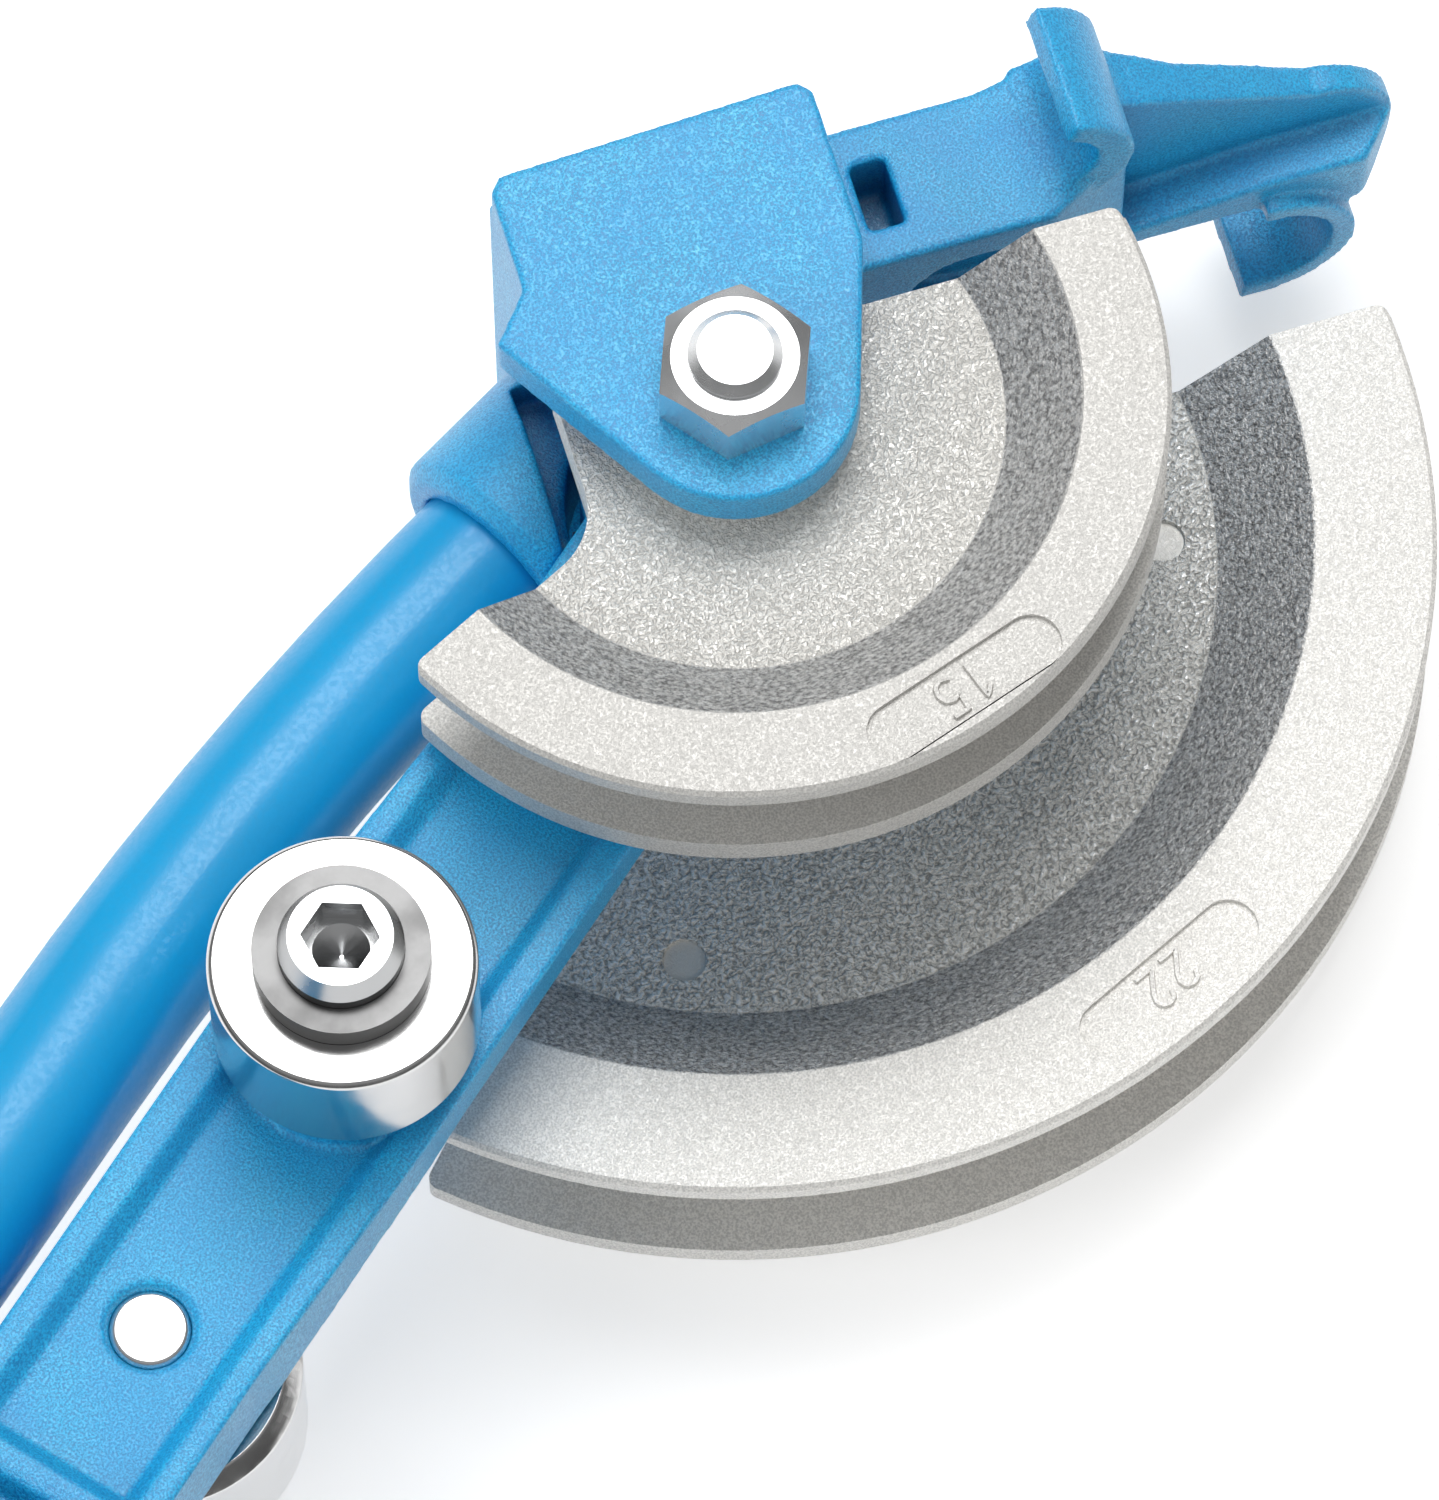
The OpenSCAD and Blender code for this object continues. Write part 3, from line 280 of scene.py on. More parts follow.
class Tree:
    """A node tree that adds and links nodes in one call."""

    def __init__(self, tree):
        self.tree = tree

    def add(self, kind, values=None, **settings):
        """Adds a node, sets its properties and gives its input sockets values or links."""
        node = self.tree.nodes.new(kind)
        for key, value in settings.items():
            setattr(node, key, value)
        for key, value in (values or {}).items():
            self.feed(node.inputs[key], value)
        return node

    def feed(self, socket, value):
        """Links an output socket to this input, or sets the input's own value."""
        if isinstance(value, bpy.types.NodeSocket):
            self.tree.links.new(value, socket)
        else:
            socket.default_value = value

    def math(self, operation, first, second=0.0, clamp=False):
        """One Math node's result."""
        node = self.add("ShaderNodeMath", {0: first, 1: second}, operation=operation)
        node.use_clamp = clamp
        return node.outputs[0]

    def mix(self, factor, first, second):
        """A colour mixed from first at 0 to second at 1."""
        node = self.add("ShaderNodeMix", data_type="RGBA")
        self.feed(node.inputs[0], factor)
        self.feed(node.inputs[6], first)
        self.feed(node.inputs[7], second)
        return node.outputs[2]

    def vary(self, factor, colour, shares):
        """A colour from its first share at 0 to its second share at 1."""
        return self.mix(factor, rgba(colour, shares[0]), rgba(colour, shares[1]))

    def blend(self, factor, first, second):
        """A value mixed from first at 0 to second at 1."""
        return self.add("ShaderNodeMix", {0: factor, 2: first, 3: second}).outputs[0]

    def length(self, across, along):
        """The length of a flat vector."""
        squares = [self.math("MULTIPLY", part, part) for part in (across, along)]
        return self.math("SQRT", self.math("ADD", *squares))

    def span(self, value, low, high, to_low=0.0, to_high=1.0):
        """value taken smoothly from low..high to to_low..to_high and held beyond."""
        node = self.add("ShaderNodeMapRange", interpolation_type="SMOOTHSTEP")
        for socket, amount in zip(node.inputs[:5], (value, low, high, to_low, to_high)):
            self.feed(socket, amount)
        return node.outputs[0]


def rgba(colour, share=1.0):
    """A share of a colour with full alpha, for a node socket."""
    return (share * colour[0], share * colour[1], share * colour[2], 1.0)


def new_group(name, inputs, outputs):
    """An empty shader group with named float sockets; gives the group's builder and its two ends."""
    group = bpy.data.node_groups.new(name, "ShaderNodeTree")
    for label, default in inputs:
        socket = group.interface.new_socket(name=label, in_out="INPUT", socket_type="NodeSocketFloat")
        socket.default_value = default
    for label in outputs:
        group.interface.new_socket(name=label, in_out="OUTPUT", socket_type="NodeSocketFloat")
    tree = Tree(group)
    return group, tree, tree.add("NodeGroupInput"), tree.add("NodeGroupOutput")


def grain_group():
    """Cast or sprayed grain: Grain is fine noise, Height blends it with domes between winding creases by the
    share Pebble, and Mottle is a slow noise."""
    name = "surface_grain"
    if name in bpy.data.node_groups:
        return bpy.data.node_groups[name]
    group, tree, given, result = new_group(
        name, (("Scale", 1500.0), ("Pebble", 0.5)), ("Height", "Grain", "Mottle"))
    place = tree.add("ShaderNodeTexCoord").outputs["Object"]
    scale = given.outputs["Scale"]
    fold_scale = tree.math("MULTIPLY", scale, FOLD_SCALE)
    slow_scale = tree.math("MULTIPLY", scale, MOTTLE_SCALE)
    fine = tree.add(
        "ShaderNodeTexNoise", {"Vector": place, "Scale": scale, "Detail": 2.0, "Roughness": 0.6})
    fold = tree.add("ShaderNodeTexNoise", {"Vector": place, "Scale": fold_scale, "Detail": 1.0})
    slow = tree.add("ShaderNodeTexNoise", {"Vector": place, "Scale": slow_scale, "Detail": 3.0})
    crease = tree.math("ABSOLUTE", tree.math("SUBTRACT", fold.outputs["Fac"], 0.5))
    dome = tree.span(crease, 0.0, CREASE_WIDTH)
    grain = tree.span(fine.outputs["Fac"], *GRAIN_SPAN)
    tree.feed(result.inputs["Height"], tree.blend(given.outputs["Pebble"], grain, dome))
    tree.feed(result.inputs["Grain"], grain)
    tree.feed(result.inputs["Mottle"], slow.outputs["Fac"])
    return group


def turning_group():
    """Fine lathe rings: noise read along the distance from an axis parallel to Z; Smear is a slow noise."""
    name = "lathe_rings"
    if name in bpy.data.node_groups:
        return bpy.data.node_groups[name]
    group, tree, given, result = new_group(
        name, (("Axis X", 0.0), ("Axis Y", 0.0), ("Scale", 900.0)), ("Rings", "Smear"))
    place = tree.add("ShaderNodeTexCoord").outputs["Object"]
    parts = tree.add("ShaderNodeSeparateXYZ", {0: place})
    across = tree.math("SUBTRACT", parts.outputs[0], given.outputs["Axis X"])
    along = tree.math("SUBTRACT", parts.outputs[1], given.outputs["Axis Y"])
    line = tree.add(
        "ShaderNodeCombineXYZ", {0: tree.length(across, along), 1: parts.outputs[2], 2: 0.0})
    rings = tree.add(
        "ShaderNodeTexNoise",
        {"Vector": line.outputs[0], "Scale": given.outputs["Scale"], "Detail": 2.0})
    smear = tree.add(
        "ShaderNodeTexNoise", {"Vector": place, "Scale": SMEAR_SCALE, "Detail": SMEAR_DETAIL})
    tree.feed(result.inputs["Rings"], rings.outputs["Fac"])
    tree.feed(result.inputs["Smear"], smear.outputs["Fac"])
    return group


def zone_group():
    """Zones of a former by the distance from the pivot axis: Band is 1 between the web and the rim,
    Web is 1 inside the band."""
    name = "former_zones"
    if name in bpy.data.node_groups:
        return bpy.data.node_groups[name]
    group, tree, given, result = new_group(
        name, (("Web radius", 0.04), ("Rim radius", 0.05)), ("Band", "Web"))
    place = tree.add("ShaderNodeTexCoord").outputs["Object"]
    parts = tree.add("ShaderNodeSeparateXYZ", {0: place})
    radius = tree.length(parts.outputs[0], parts.outputs[1])
    inside_rim, inside_band = (
        tree.span(radius, tree.math("SUBTRACT", edge, ZONE_EDGE), edge, 1.0, 0.0)
        for edge in (given.outputs["Rim radius"], given.outputs["Web radius"]))
    tree.feed(result.inputs["Band"], tree.math("SUBTRACT", inside_rim, inside_band, clamp=True))
    tree.feed(result.inputs["Web"], inside_band)
    return group


def new_material(name):
    """A material with one Principled surface; gives the material, its builder and the surface node."""
    material = bpy.data.materials.new(name)
    material.use_nodes = True
    tree = Tree(material.node_tree)
    surface = next(n for n in material.node_tree.nodes if n.type == "BSDF_PRINCIPLED")
    return material, tree, surface


def use_group(tree, group, **values):
    """Places a shader group with its own values; underscores in the names stand for spaces."""
    node = tree.add("ShaderNodeGroup")
    node.node_tree = group
    for key, value in values.items():
        node.inputs[key.replace("_", " ")].default_value = value
    return node


def bump(tree, surface, height, strength, depth):
    """A bump of this depth in metres on the surface's normal."""
    node = tree.add("ShaderNodeBump", {"Strength": strength, "Distance": depth, "Height": height})
    tree.feed(surface.inputs["Normal"], node.outputs["Normal"])


def paint_material(name, colour, fleck, grain_scale, depth, rough, contrast, sheen, painted_shade_reach=0.0):
    """Powder coat: the colour between dark pits and light flecks, a slow mottle, painted shade in corners
    narrower than the given reach, and grain in bump and gloss."""
    material, tree, surface = new_material(name)
    grain = use_group(tree, grain_group(), Scale=grain_scale, Pebble=COAT_PEBBLE)
    light = [min(1.0, c + (f - c) * contrast) for c, f in zip(colour, fleck)]
    flecked = tree.mix(
        grain.outputs["Height"], rgba(colour, 1.0 - COAT_PIT * contrast), rgba(light))
    mottle = tree.span(grain.outputs["Mottle"], *MOTTLE_SPAN, COAT_MOTTLE, 0.0)
    shade = tree.mix(mottle, flecked, rgba(colour, COAT_DEEP))
    # Painted shade: local ambient occlusion darkens the coat in corners and crevices, where shade falls
    if painted_shade_reach:
        corner = tree.add(
            "ShaderNodeAmbientOcclusion", {"Distance": painted_shade_reach}, only_local=True, samples=PAINTED_SHADE_SAMPLES)
        dark = tree.span(corner.outputs["AO"], *PAINTED_SHADE_SPAN, PAINTED_SHADE_STRENGTH, 0.0)
        shade = tree.mix(dark, shade, rgba(colour, PAINTED_SHADE_SHARE))
    tree.feed(surface.inputs["Base Color"], shade)
    gloss = tree.span(grain.outputs["Grain"], 0.0, 1.0, rough + PIT_ROUGH, rough - FLECK_GLOSS)
    tree.feed(surface.inputs["Roughness"], gloss)
    surface.inputs["Specular IOR Level"].default_value = sheen
    bump(tree, surface, grain.outputs["Height"], CAST_BUMP, depth)
    return material


def former_material(settings, name, radii, grey_shares_with_painted_light, web_range, relief, marks):
    """Bead-blasted casting: light rim, dark rough band and pebbled web, split by the distance from the pivot;
    band and web are darker in creases and lighter on crests, partly their own tone and partly painted shade
    and painted light; relief is the web's pebble scale, its share of creases and its height, and the round
    marks are smooth."""
    material, tree, surface = new_material(name + "_metal")
    zones = use_group(tree, zone_group(), Web_radius=radii[0], Rim_radius=radii[1])
    fine = use_group(tree, grain_group(), **RIM_GRAIN)
    coarse = use_group(tree, grain_group(), **BAND_GRAIN)
    pebble = use_group(tree, grain_group(), Scale=relief[0], Pebble=relief[1])
    band, web = zones.outputs["Band"], zones.outputs["Web"]
    greys = (settings.rim_grey, settings.band_grey, settings.web_grey)
    # Per-former shares hold painted light: the large former is painted lighter for the shade the small one
    # casts on it
    rim, dark, light = ([share * c for c in grey] for share, grey in zip(grey_shares_with_painted_light, greys))
    # Band and web shades by pebble height: partly own tone, partly painted crease shade and crest light
    rim_shade = tree.vary(fine.outputs["Grain"], rim, RIM_RANGE)
    band_shade = tree.vary(coarse.outputs["Height"], dark, BAND_RANGE)
    web_shade = tree.vary(pebble.outputs["Height"], light, web_range)
    rim_height = tree.math("MULTIPLY", fine.outputs["Height"], RIM_HEIGHT)
    web_height = tree.math("MULTIPLY", pebble.outputs["Height"], relief[2])
    for mark in marks:
        place = tree.add("ShaderNodeTexCoord").outputs["Object"]
        flat = tree.add("ShaderNodeVectorMath", {0: place, 1: (1.0, 1.0, 0.0)}, operation="MULTIPLY")
        away = tree.add(
            "ShaderNodeVectorMath", {0: flat.outputs[0], 1: (*mark, 0.0)}, operation="DISTANCE")
        inside = tree.span(away.outputs["Value"], MARK_RADIUS - MARK_EDGE, MARK_RADIUS, 1.0, 0.0)
        web_shade = tree.mix(inside, web_shade, rgba(light, MARK_SHADE))
        web_height = tree.blend(inside, web_height, rim_height)
    whole = tree.mix(web, tree.mix(band, rim_shade, band_shade), web_shade)
    tree.feed(surface.inputs["Base Color"], whole)
    gloss = tree.span(pebble.outputs["Height"], 0.0, 1.0, *FORMER_ROUGH)
    tree.feed(surface.inputs["Roughness"], gloss)
    surface.inputs["Metallic"].default_value = FORMER_METALLIC
    height = tree.blend(tree.math("MAXIMUM", band, web), rim_height, web_height)
    bump(tree, surface, height, CAST_BUMP, FORMER_DEPTH)
    return material


def metal_material(
        name, colour, rough, axis=(0.0, 0.0), rings=900.0, depth=0.006 * MM, painted_wall_shade=1.0, patch=0.86,
        metal=1.0):
    """Bright metal: lathe rings about an axis in bump, smears in gloss and a trace of colour change; upright
    walls keep a given share of the colour as painted reflection shade, and patch is the share in dark smears."""
    material, tree, surface = new_material(name)
    marks = use_group(tree, turning_group(), Axis_X=axis[0], Axis_Y=axis[1], Scale=rings)
    shade = tree.vary(tree.span(marks.outputs["Smear"], *SMEAR_SPAN), colour, (patch, 1.0))
    # Painted reflection shade: upright walls are darkened by the wall share, as if mirroring a dark surround
    normal = tree.add("ShaderNodeNewGeometry").outputs["Normal"]
    upright = tree.add("ShaderNodeSeparateXYZ", {0: normal}).outputs[2]
    flat = tree.span(tree.math("ABSOLUTE", upright), *PAINTED_WALL_SPAN)
    tree.feed(surface.inputs["Base Color"], tree.mix(flat, rgba(colour, painted_wall_shade), shade))
    gloss = tree.span(marks.outputs["Smear"], *GLOSS_SPAN, rough, rough + SMEAR_ROUGH)
    tree.feed(surface.inputs["Roughness"], gloss)
    surface.inputs["Metallic"].default_value = metal
    bump(tree, surface, marks.outputs["Rings"], FINE_BUMP, depth)
    return material


def dull_material(name, colour, rough, grain_scale, depth):
    """Rubber or moulded plastic: fine matt grain with a slow change of shade."""
    material, tree, surface = new_material(name)
    grain = use_group(tree, grain_group(), Scale=grain_scale, Pebble=DULL_PEBBLE)
    tree.feed(surface.inputs["Base Color"], tree.vary(grain.outputs["Mottle"], colour, DULL_RANGE))
    gloss = tree.span(grain.outputs["Height"], *DULL_SPAN, rough + DULL_ROUGH, rough - DULL_GLOSS)
    tree.feed(surface.inputs["Roughness"], gloss)
    bump(tree, surface, grain.outputs["Height"], FINE_BUMP, depth)
    return material


def dress(name, material):
    """Gives a CAD node one material."""
    node = NODES[name]
    node.data.materials.clear()
    node.data.materials.append(material)
    return node


def merge(node):
    """Closes the node's loose triangles into one surface."""
    weld = node.modifiers.new("merge", "WELD")
    weld.merge_threshold = MERGE_STEP


def soften(node, radius):
    """Merged, flats joined, sharp edges rounded to the radius, and normals weighted by area."""
    merge(node)
    flats = node.modifiers.new("flats", "DECIMATE")
    flats.decimate_type = "DISSOLVE"
    flats.angle_limit = math.radians(FLAT_ANGLE)
    edge = node.modifiers.new("edges", "BEVEL")
    edge.width = radius
    edge.segments = EDGE_STEPS
    edge.limit_method = "ANGLE"
    edge.angle_limit = math.radians(EDGE_ANGLE)
    edge.use_clamp_overlap = True
    edge.miter_outer = "MITER_ARC"
    weighted = node.modifiers.new("normals", "WEIGHTED_NORMAL")
    weighted.keep_sharp = False


def round_casting(node, step, rounds):
    """Merged, rebuilt on a fine grid and smoothed, so that every edge and inner corner gets a cast radius."""
    merge(node)
    grid = node.modifiers.new("cast_grid", "REMESH")
    grid.mode = "VOXEL"
    grid.voxel_size = step
    grid.use_smooth_shade = True
    smooth = node.modifiers.new("cast_round", "SMOOTH")
    smooth.factor = CAST_SMOOTH
    smooth.iterations = rounds
    thin = node.modifiers.new("cast_thin", "DECIMATE")
    thin.ratio = CAST_KEEP


class TUBEBENDER_OT_castings(bpy.types.Operator):
    """Rounds and paints the head and the lever arm"""

    bl_idname = "tube_bender.castings"
    bl_label = "Castings"

    def execute(self, context):
        settings = context.scene.tube_bender_castings
        # The head and arm coat gets painted shade in corners and crevices within 7 mm
        coat = paint_material(
            "textured_blue_coat", settings.casting_blue, settings.fleck_blue, grain_scale=2700.0,
            depth=0.07 * MM, rough=0.34, contrast=1.25, sheen=0.9, painted_shade_reach=7.0 * MM)
        for name, rounds in (
                ("head_casting", settings.cast_rounds), ("lever_arm", settings.arm_rounds)):
            round_casting(dress(name, coat), settings.cast_step, rounds)
        return {"FINISHED"}


class TUBEBENDER_OT_tubes(bpy.types.Operator):
    """Paints the two handle tubes"""

    bl_idname = "tube_bender.tubes"
    bl_label = "Handle tubes"

    def execute(self, context):
        settings = context.scene.tube_bender_castings
        coat = paint_material(
            "smooth_blue_coat", settings.tube_blue, settings.fleck_blue, grain_scale=1300.0,
            depth=0.006 * MM, rough=0.34, contrast=0.06, sheen=0.58)
        for name in ("frame_tube", "lever_tube"):
            soften(dress(name, coat), TUBE_EDGE)
        return {"FINISHED"}


class TUBEBENDER_OT_formers(bpy.types.Operator):
    """Finishes the two grooved formers"""

    bl_idname = "tube_bender.formers"
    bl_label = "Formers"

    def execute(self, context):
        settings = context.scene.tube_bender_metal
        for former in FORMERS:
            metal = former_material(settings, **former)
            soften(dress(former["name"], metal), settings.former_edge)
        return {"FINISHED"}


def stroke_grid(path, profile):
    """A profile carried along a flat path: each path point is moved along its normal by the profile's offset
    and raised by the profile's height. Gives the grid's points and its faces, with the two ends closed."""
    along = np.gradient(path, axis=0)
    along /= np.linalg.norm(along, axis=1, keepdims=True)
    normal = np.stack((-along[:, 1], along[:, 0]), axis=1)
    flat = path[:, None, :] + normal[:, None, :] * profile[None, :, 0, None]
    high = np.broadcast_to(profile[None, :, 1, None], flat.shape[:2] + (1,))
    points = np.concatenate((flat, high), axis=2).reshape(-1, 3)
    rows, columns = len(path), len(profile)
    row, column = np.meshgrid(np.arange(rows - 1), np.arange(columns), indexing="ij")
    after = (column + 1) % columns
    here, beyond = row * columns, (row + 1) * columns
    quads = np.stack((here + column, here + after, beyond + after, beyond + column), axis=-1).reshape(-1, 4)
    ends = [list(range(columns))[::-1], list(range((rows - 1) * columns, rows * columns))]
    return points, [list(map(int, quad)) for quad in quads] + ends


def resample(corners, step):
    """Points every step along a polyline."""
    corners = np.asarray(corners, float)
    lengths = np.concatenate(((0.0,), np.cumsum(np.linalg.norm(np.diff(corners, axis=0), axis=1))))
    marks = np.linspace(0.0, lengths[-1], max(2, int(lengths[-1] / step) + 1))
    return np.stack([np.interp(marks, lengths, corners[:, axis]) for axis in (0, 1)], axis=1)


def number_mesh(name, digits, height, angle, radius, floor):
    """Raised digits in a row on a rim panel: their tops point away from the pivot and they read clockwise."""
    profile = np.array(DIGIT_PROFILE) * MM
    advance = DIGIT_ADVANCE * height
    turn = math.radians(angle)
    up = np.array((math.cos(turn), math.sin(turn)))
    right = np.array((up[1], -up[0]))
    points, faces = [], []
    count = 0
    for place, digit in enumerate(digits):
        shift = (place - (len(digits) - 1) / 2) * advance
        corner = np.array((shift - DIGIT_WIDTH / 2 * height, -height / 2))
        path = resample(STROKES[digit], DIGIT_STEP) * height + corner
        grid, cells = stroke_grid(path, profile)
        flat = up * (radius + grid[:, 1:2]) + right * grid[:, :1]
        points.append(np.concatenate((flat, floor + grid[:, 2:]), axis=1))
        faces += [[index + count for index in cell] for cell in cells]
        count += len(grid)
    mesh = bpy.data.meshes.new(name)
    mesh.from_pydata(np.concatenate(points).tolist(), [], faces)
    mesh.validate()
    return mesh


class TUBEBENDER_OT_size_numbers(bpy.types.Operator):
    """Raises the plain tube sizes in the rim panels of the formers"""

    bl_idname = "tube_bender.size_numbers"
    bl_label = "Size numbers"

    def execute(self, context):
        settings = context.scene.tube_bender_metal
        for name, former, digits, angle, radius, floor in PANELS:
            mesh = number_mesh(name, digits, settings.number_height, angle, radius, floor)
            mesh.materials.append(NODES[former].data.materials[0])
            number = bpy.data.objects.new(name, mesh)
            context.scene.collection.objects.link(number)
            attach(number, "frame")
        return {"FINISHED"}


class TUBEBENDER_OT_rollers(bpy.types.Operator):
    """Finishes the two turned rollers"""

    bl_idname = "tube_bender.rollers"
    bl_label = "Rollers"

    def execute(self, context):
        settings = context.scene.tube_bender_metal
        for name, axis in (("front_roller", FRONT_ROLLER_AXIS), ("rear_roller", REAR_ROLLER_AXIS)):
            metal = metal_material(
                name + "_steel", settings.steel_grey, rough=0.13, axis=axis, rings=1400.0)
            soften(dress(name, metal), settings.plated_edge)
        return {"FINISHED"}


class TUBEBENDER_OT_fasteners(bpy.types.Operator):
    """Finishes the plated fasteners, pins and dowels, the bronze bush and the washers"""

    bl_idname = "tube_bender.fasteners"
    bl_label = "Fasteners and bearings"

    def execute(self, context):
        settings = context.scene.tube_bender_metal
        pivot_zinc = metal_material("pivot_zinc", settings.zinc_grey, rough=0.20, metal=0.86)
        satin = metal_material(
            "sleeve_satin_steel", settings.satin_grey, rough=0.36, axis=FRONT_ROLLER_AXIS, rings=500.0,
            depth=0.03 * MM, patch=0.4)
        screw_zinc = metal_material(
            # The screw's upright walls get painted reflection shade, at about half the colour
            "screw_zinc", settings.zinc_grey, rough=0.2, axis=FRONT_ROLLER_AXIS, painted_wall_shade=0.48)
        rear_zinc = metal_material(
            "axle_zinc", settings.zinc_grey, rough=0.18, axis=REAR_ROLLER_AXIS)
        bronze = metal_material("bearing_bronze", settings.bronze_brown, rough=0.3)
        for name in ("pivot_bolt", "pivot_nut", "former_dowels", "frame_tube_pin", "lever_tube_pin"):
            dress(name, pivot_zinc)
        dress("roller_sleeve", satin)
        dress("roller_screw", screw_zinc)
        for name in ("rear_axle", "rear_roller_washer"):
            soften(dress(name, rear_zinc), settings.plated_edge)
        for name in ("pivot_bush", "front_thrust_washer", "rear_thrust_washer"):
            soften(dress(name, bronze), settings.plated_edge)
        return {"FINISHED"}


class TUBEBENDER_OT_grips(bpy.types.Operator):
    """Finishes the ringed rubber grips and the end plugs"""

    bl_idname = "tube_bender.grips"
    bl_label = "Grips and plugs"

    def execute(self, context):
        settings = context.scene.tube_bender_grips
        rubber = dull_material(
            "grip_rubber", settings.rubber_black, rough=0.62, grain_scale=2200.0, depth=0.05 * MM)
        plastic = dull_material(
            "plug_plastic", settings.plug_black, rough=0.5, grain_scale=3000.0, depth=0.03 * MM)
        for name in ("frame_grip", "lever_grip"):
            soften(dress(name, rubber), GRIP_EDGE)
        for name in ("frame_end_plug", "lever_end_plug"):
            soften(dress(name, plastic), PLUG_EDGE)
        return {"FINISHED"}


def aim(forward, up):
    """The turn of an object that looks along forward with up towards the top."""
    back = -Vector(forward).normalized()
    right = Vector(up).cross(back).normalized()
    return Matrix((right, back.cross(right), back)).transposed().to_4x4()


def add_lamp(name, direction, distance, size, power, shine):
    """A square lamp at a distance along a direction from the head, facing it; mirrors show it only where
    it shines."""
    lamp = bpy.data.lights.new(name, "AREA")
    lamp.shape = "SQUARE"
    lamp.size = size
    lamp.energy = power
    holder = bpy.data.objects.new(name, lamp)
    bpy.context.scene.collection.objects.link(holder)
    holder.visible_glossy = shine
    way = Vector(direction).normalized()
    place = Vector(LAMP_TARGET) + way * distance
    holder.matrix_world = Matrix.Translation(place) @ aim(-way, (0.0, 1.0, 0.0))


def floor_material(colour, glow):
    """Pale floor that takes the shadow: a glow lifts it to white in the camera and in mirrors, more so far
    from the lamps, and it is greyer to the light that it throws back on the object."""
    material = bpy.data.materials.new("pale_floor")
    material.use_nodes = True
    tree = Tree(material.node_tree)
    material.node_tree.nodes.clear()
    path = tree.add("ShaderNodeLightPath")
    mirrored = tree.math("MAXIMUM", path.outputs["Is Glossy Ray"], path.outputs["Is Transmission Ray"])
    seen = tree.math("MAXIMUM", path.outputs["Is Camera Ray"], mirrored)
    shade = tree.vary(seen, colour, (FLOOR_BOUNCE, 1.0))
    paint = tree.add("ShaderNodeBsdfDiffuse", {"Color": shade})
    place = tree.add("ShaderNodeTexCoord").outputs["Object"]
    away = tree.add("ShaderNodeVectorMath", {0: place}, operation="LENGTH").outputs["Value"]
    level = tree.span(away, FLOOR_NEAR, FLOOR_FAR, glow, 1.0)
    strength = tree.math("MULTIPLY", seen, level)
    lift = tree.add("ShaderNodeEmission", {"Color": WHITE, "Strength": strength})
    both = tree.add("ShaderNodeAddShader", {0: paint.outputs[0], 1: lift.outputs[0]})
    tree.add("ShaderNodeOutputMaterial", {0: both.outputs[0]})
    return material


def surround(level):
    """Surround: a white band round the horizon, dark above it and bright overhead."""
    world = bpy.data.worlds.new("surround")
    bpy.context.scene.world = world
    world.use_nodes = True
    tree = Tree(world.node_tree)
    world.node_tree.nodes.clear()
    way = tree.add("ShaderNodeTexCoord").outputs["Generated"]
    height = tree.add("ShaderNodeSeparateXYZ", {0: way}).outputs[2]
    shade = tree.span(height, *SKY_SPAN, *SKY_SHADES)
    band = tree.span(height, *HORIZON_EDGE, 1.0, 0.0)
    strength = tree.math("MAXIMUM", tree.math("MULTIPLY", shade, level), band)
    open_sky = tree.add("ShaderNodeBackground", {"Color": WHITE, "Strength": strength})
    tree.add("ShaderNodeOutputWorld", {0: open_sky.outputs[0]})


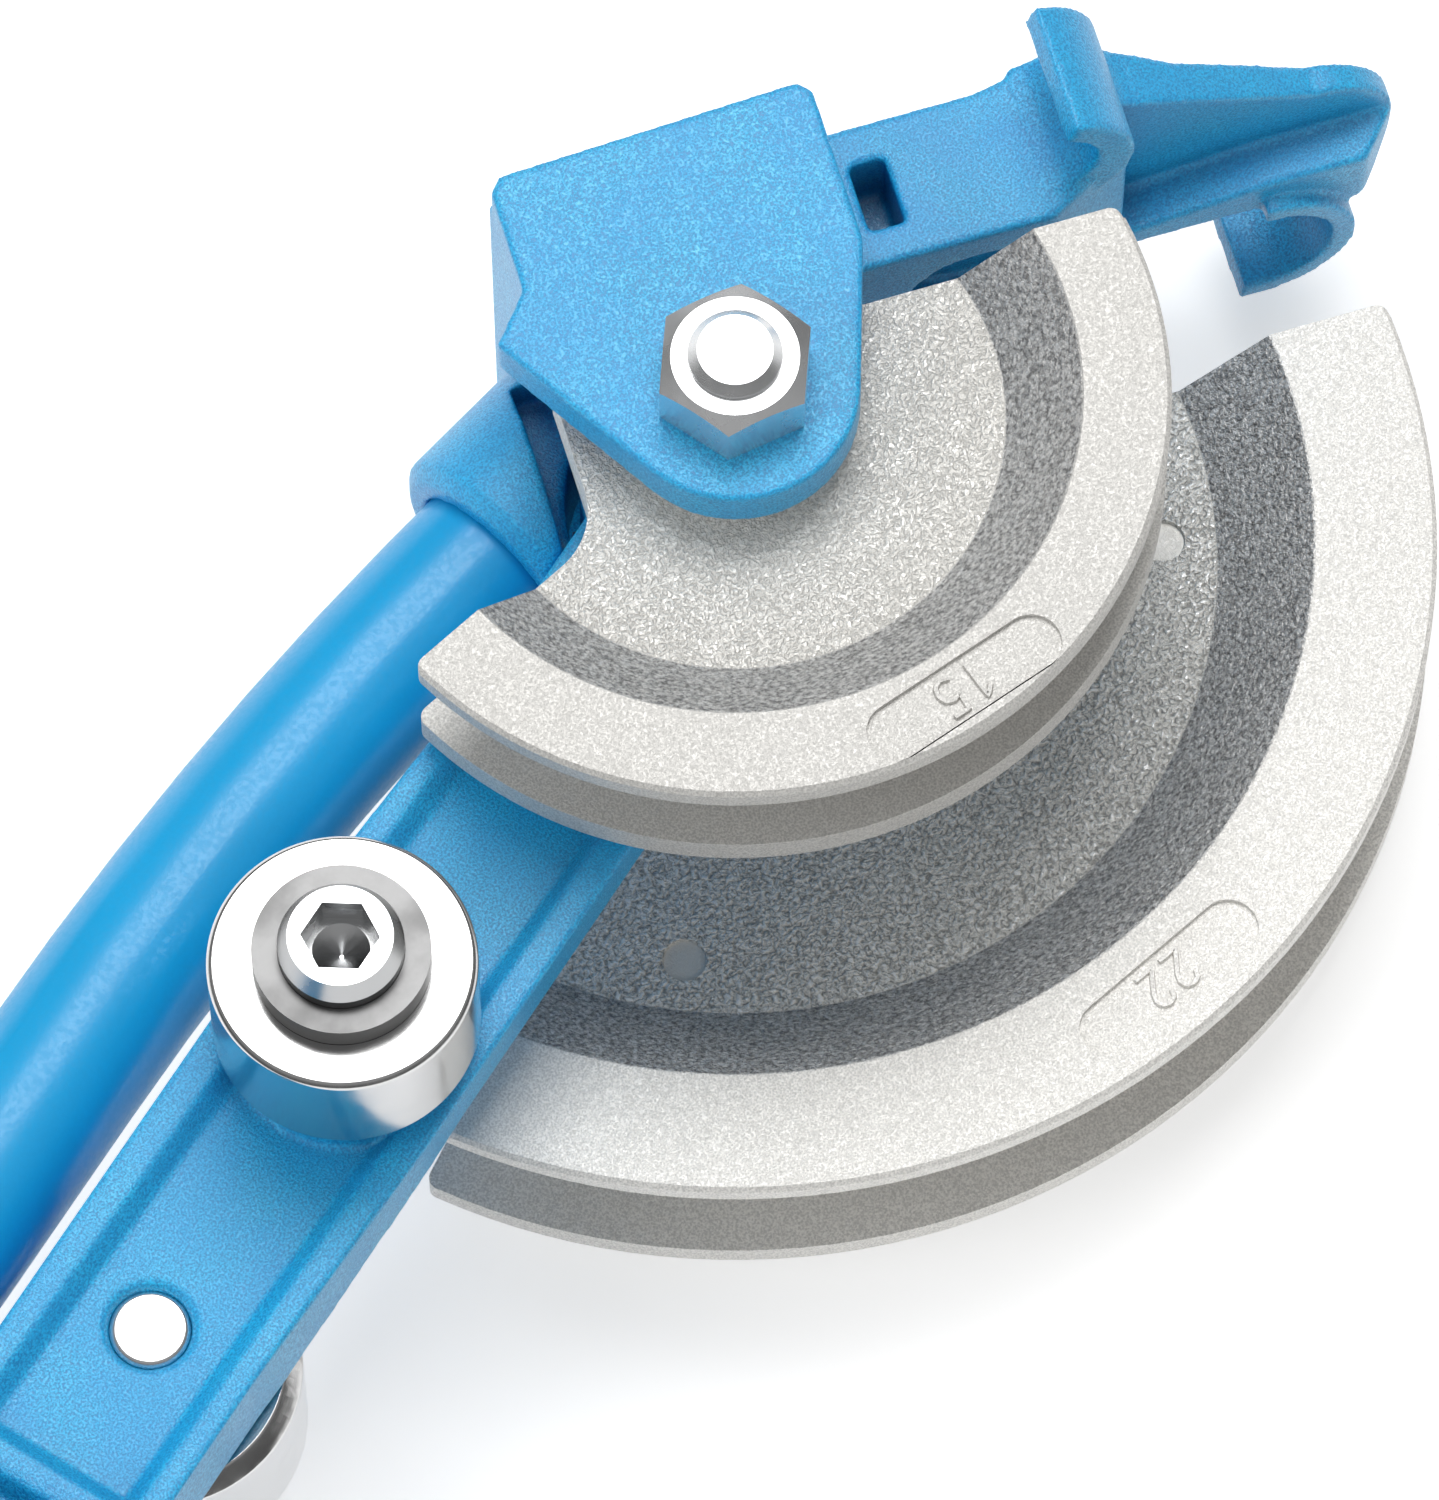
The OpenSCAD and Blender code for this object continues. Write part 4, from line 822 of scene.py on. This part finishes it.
class TUBEBENDER_OT_stage(bpy.types.Operator):
    """Lays the floor, hangs the lamps and sets the camera at the photograph's angle"""

    bl_idname = "tube_bender.stage"
    bl_label = "Stage"

    def execute(self, context):
        scene = context.scene
        settings = scene.tube_bender_stage
        sheet = bpy.data.meshes.new("floor")
        sheet.from_pydata(
            [(FLOOR_REACH * x, FLOOR_REACH * y, 0.0) for x, y in ((-1, -1), (1, -1), (1, 1), (-1, 1))],
            [], [(0, 1, 2, 3)])
        floor = bpy.data.objects.new("floor", sheet)
        sheet.materials.append(floor_material(settings.floor_white, settings.floor_glow))
        scene.collection.objects.link(floor)
        for name, direction, distance, size, power, shine in LAMPS:
            add_lamp(name, direction, distance, size, getattr(settings, power), shine)
        surround(settings.sky_level)
        lens = bpy.data.cameras.new("camera")
        lens.lens = CAMERA_LENS
        lens.sensor_fit = "VERTICAL"
        lens.sensor_height = CAMERA_SENSOR
        lens.sensor_width = CAMERA_SENSOR
        lens.clip_end = CAMERA_FAR
        camera = bpy.data.objects.new("camera", lens)
        camera.matrix_world = Matrix.Translation(CAMERA_PLACE) @ aim(CAMERA_FORWARD, CAMERA_UP)
        scene.collection.objects.link(camera)
        scene.camera = camera
        scene.view_settings.view_transform = "Standard"
        return {"FINISHED"}


class TUBEBENDER_PT_panel(bpy.types.Panel):
    """Lists the bender's settings and the steps that dress it"""

    bl_idname = "TUBEBENDER_PT_panel"
    bl_label = "Tube bender"
    bl_space_type = "VIEW_3D"
    bl_region_type = "UI"
    bl_category = "Tube bender"

    def draw(self, context):
        for name in SETTINGS:
            column = self.layout.column(align=True)
            group = getattr(context.scene, name)
            for key in group.__annotations__:
                column.prop(group, key)
        for operator in OPERATORS:
            self.layout.operator(operator.bl_idname)


SETTINGS = {
    "tube_bender_castings": CastingSettings,
    "tube_bender_metal": MetalSettings,
    "tube_bender_grips": GripSettings,
    "tube_bender_stage": StageSettings,
}
OPERATORS = (
    TUBEBENDER_OT_castings,
    TUBEBENDER_OT_tubes,
    TUBEBENDER_OT_formers,
    TUBEBENDER_OT_size_numbers,
    TUBEBENDER_OT_rollers,
    TUBEBENDER_OT_fasteners,
    TUBEBENDER_OT_grips,
    TUBEBENDER_OT_stage,
)


def register():
    """Adds the settings, the steps and the panel."""
    for name, group in SETTINGS.items():
        bpy.utils.register_class(group)
        setattr(bpy.types.Scene, name, bpy.props.PointerProperty(type=group))
    for item in OPERATORS + (TUBEBENDER_PT_panel,):
        bpy.utils.register_class(item)


def unregister():
    """Takes the panel, the steps and the settings out again."""
    for item in reversed(OPERATORS + (TUBEBENDER_PT_panel,)):
        bpy.utils.unregister_class(item)
    for name, group in SETTINGS.items():
        delattr(bpy.types.Scene, name)
        bpy.utils.unregister_class(group)


def main():
    """Registers the add-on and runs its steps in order."""
    register()
    bpy.ops.tube_bender.castings()
    bpy.ops.tube_bender.tubes()
    bpy.ops.tube_bender.formers()
    bpy.ops.tube_bender.size_numbers()
    bpy.ops.tube_bender.rollers()
    bpy.ops.tube_bender.fasteners()
    bpy.ops.tube_bender.grips()
    bpy.ops.tube_bender.stage()


if __name__ == "__main__":
    main()
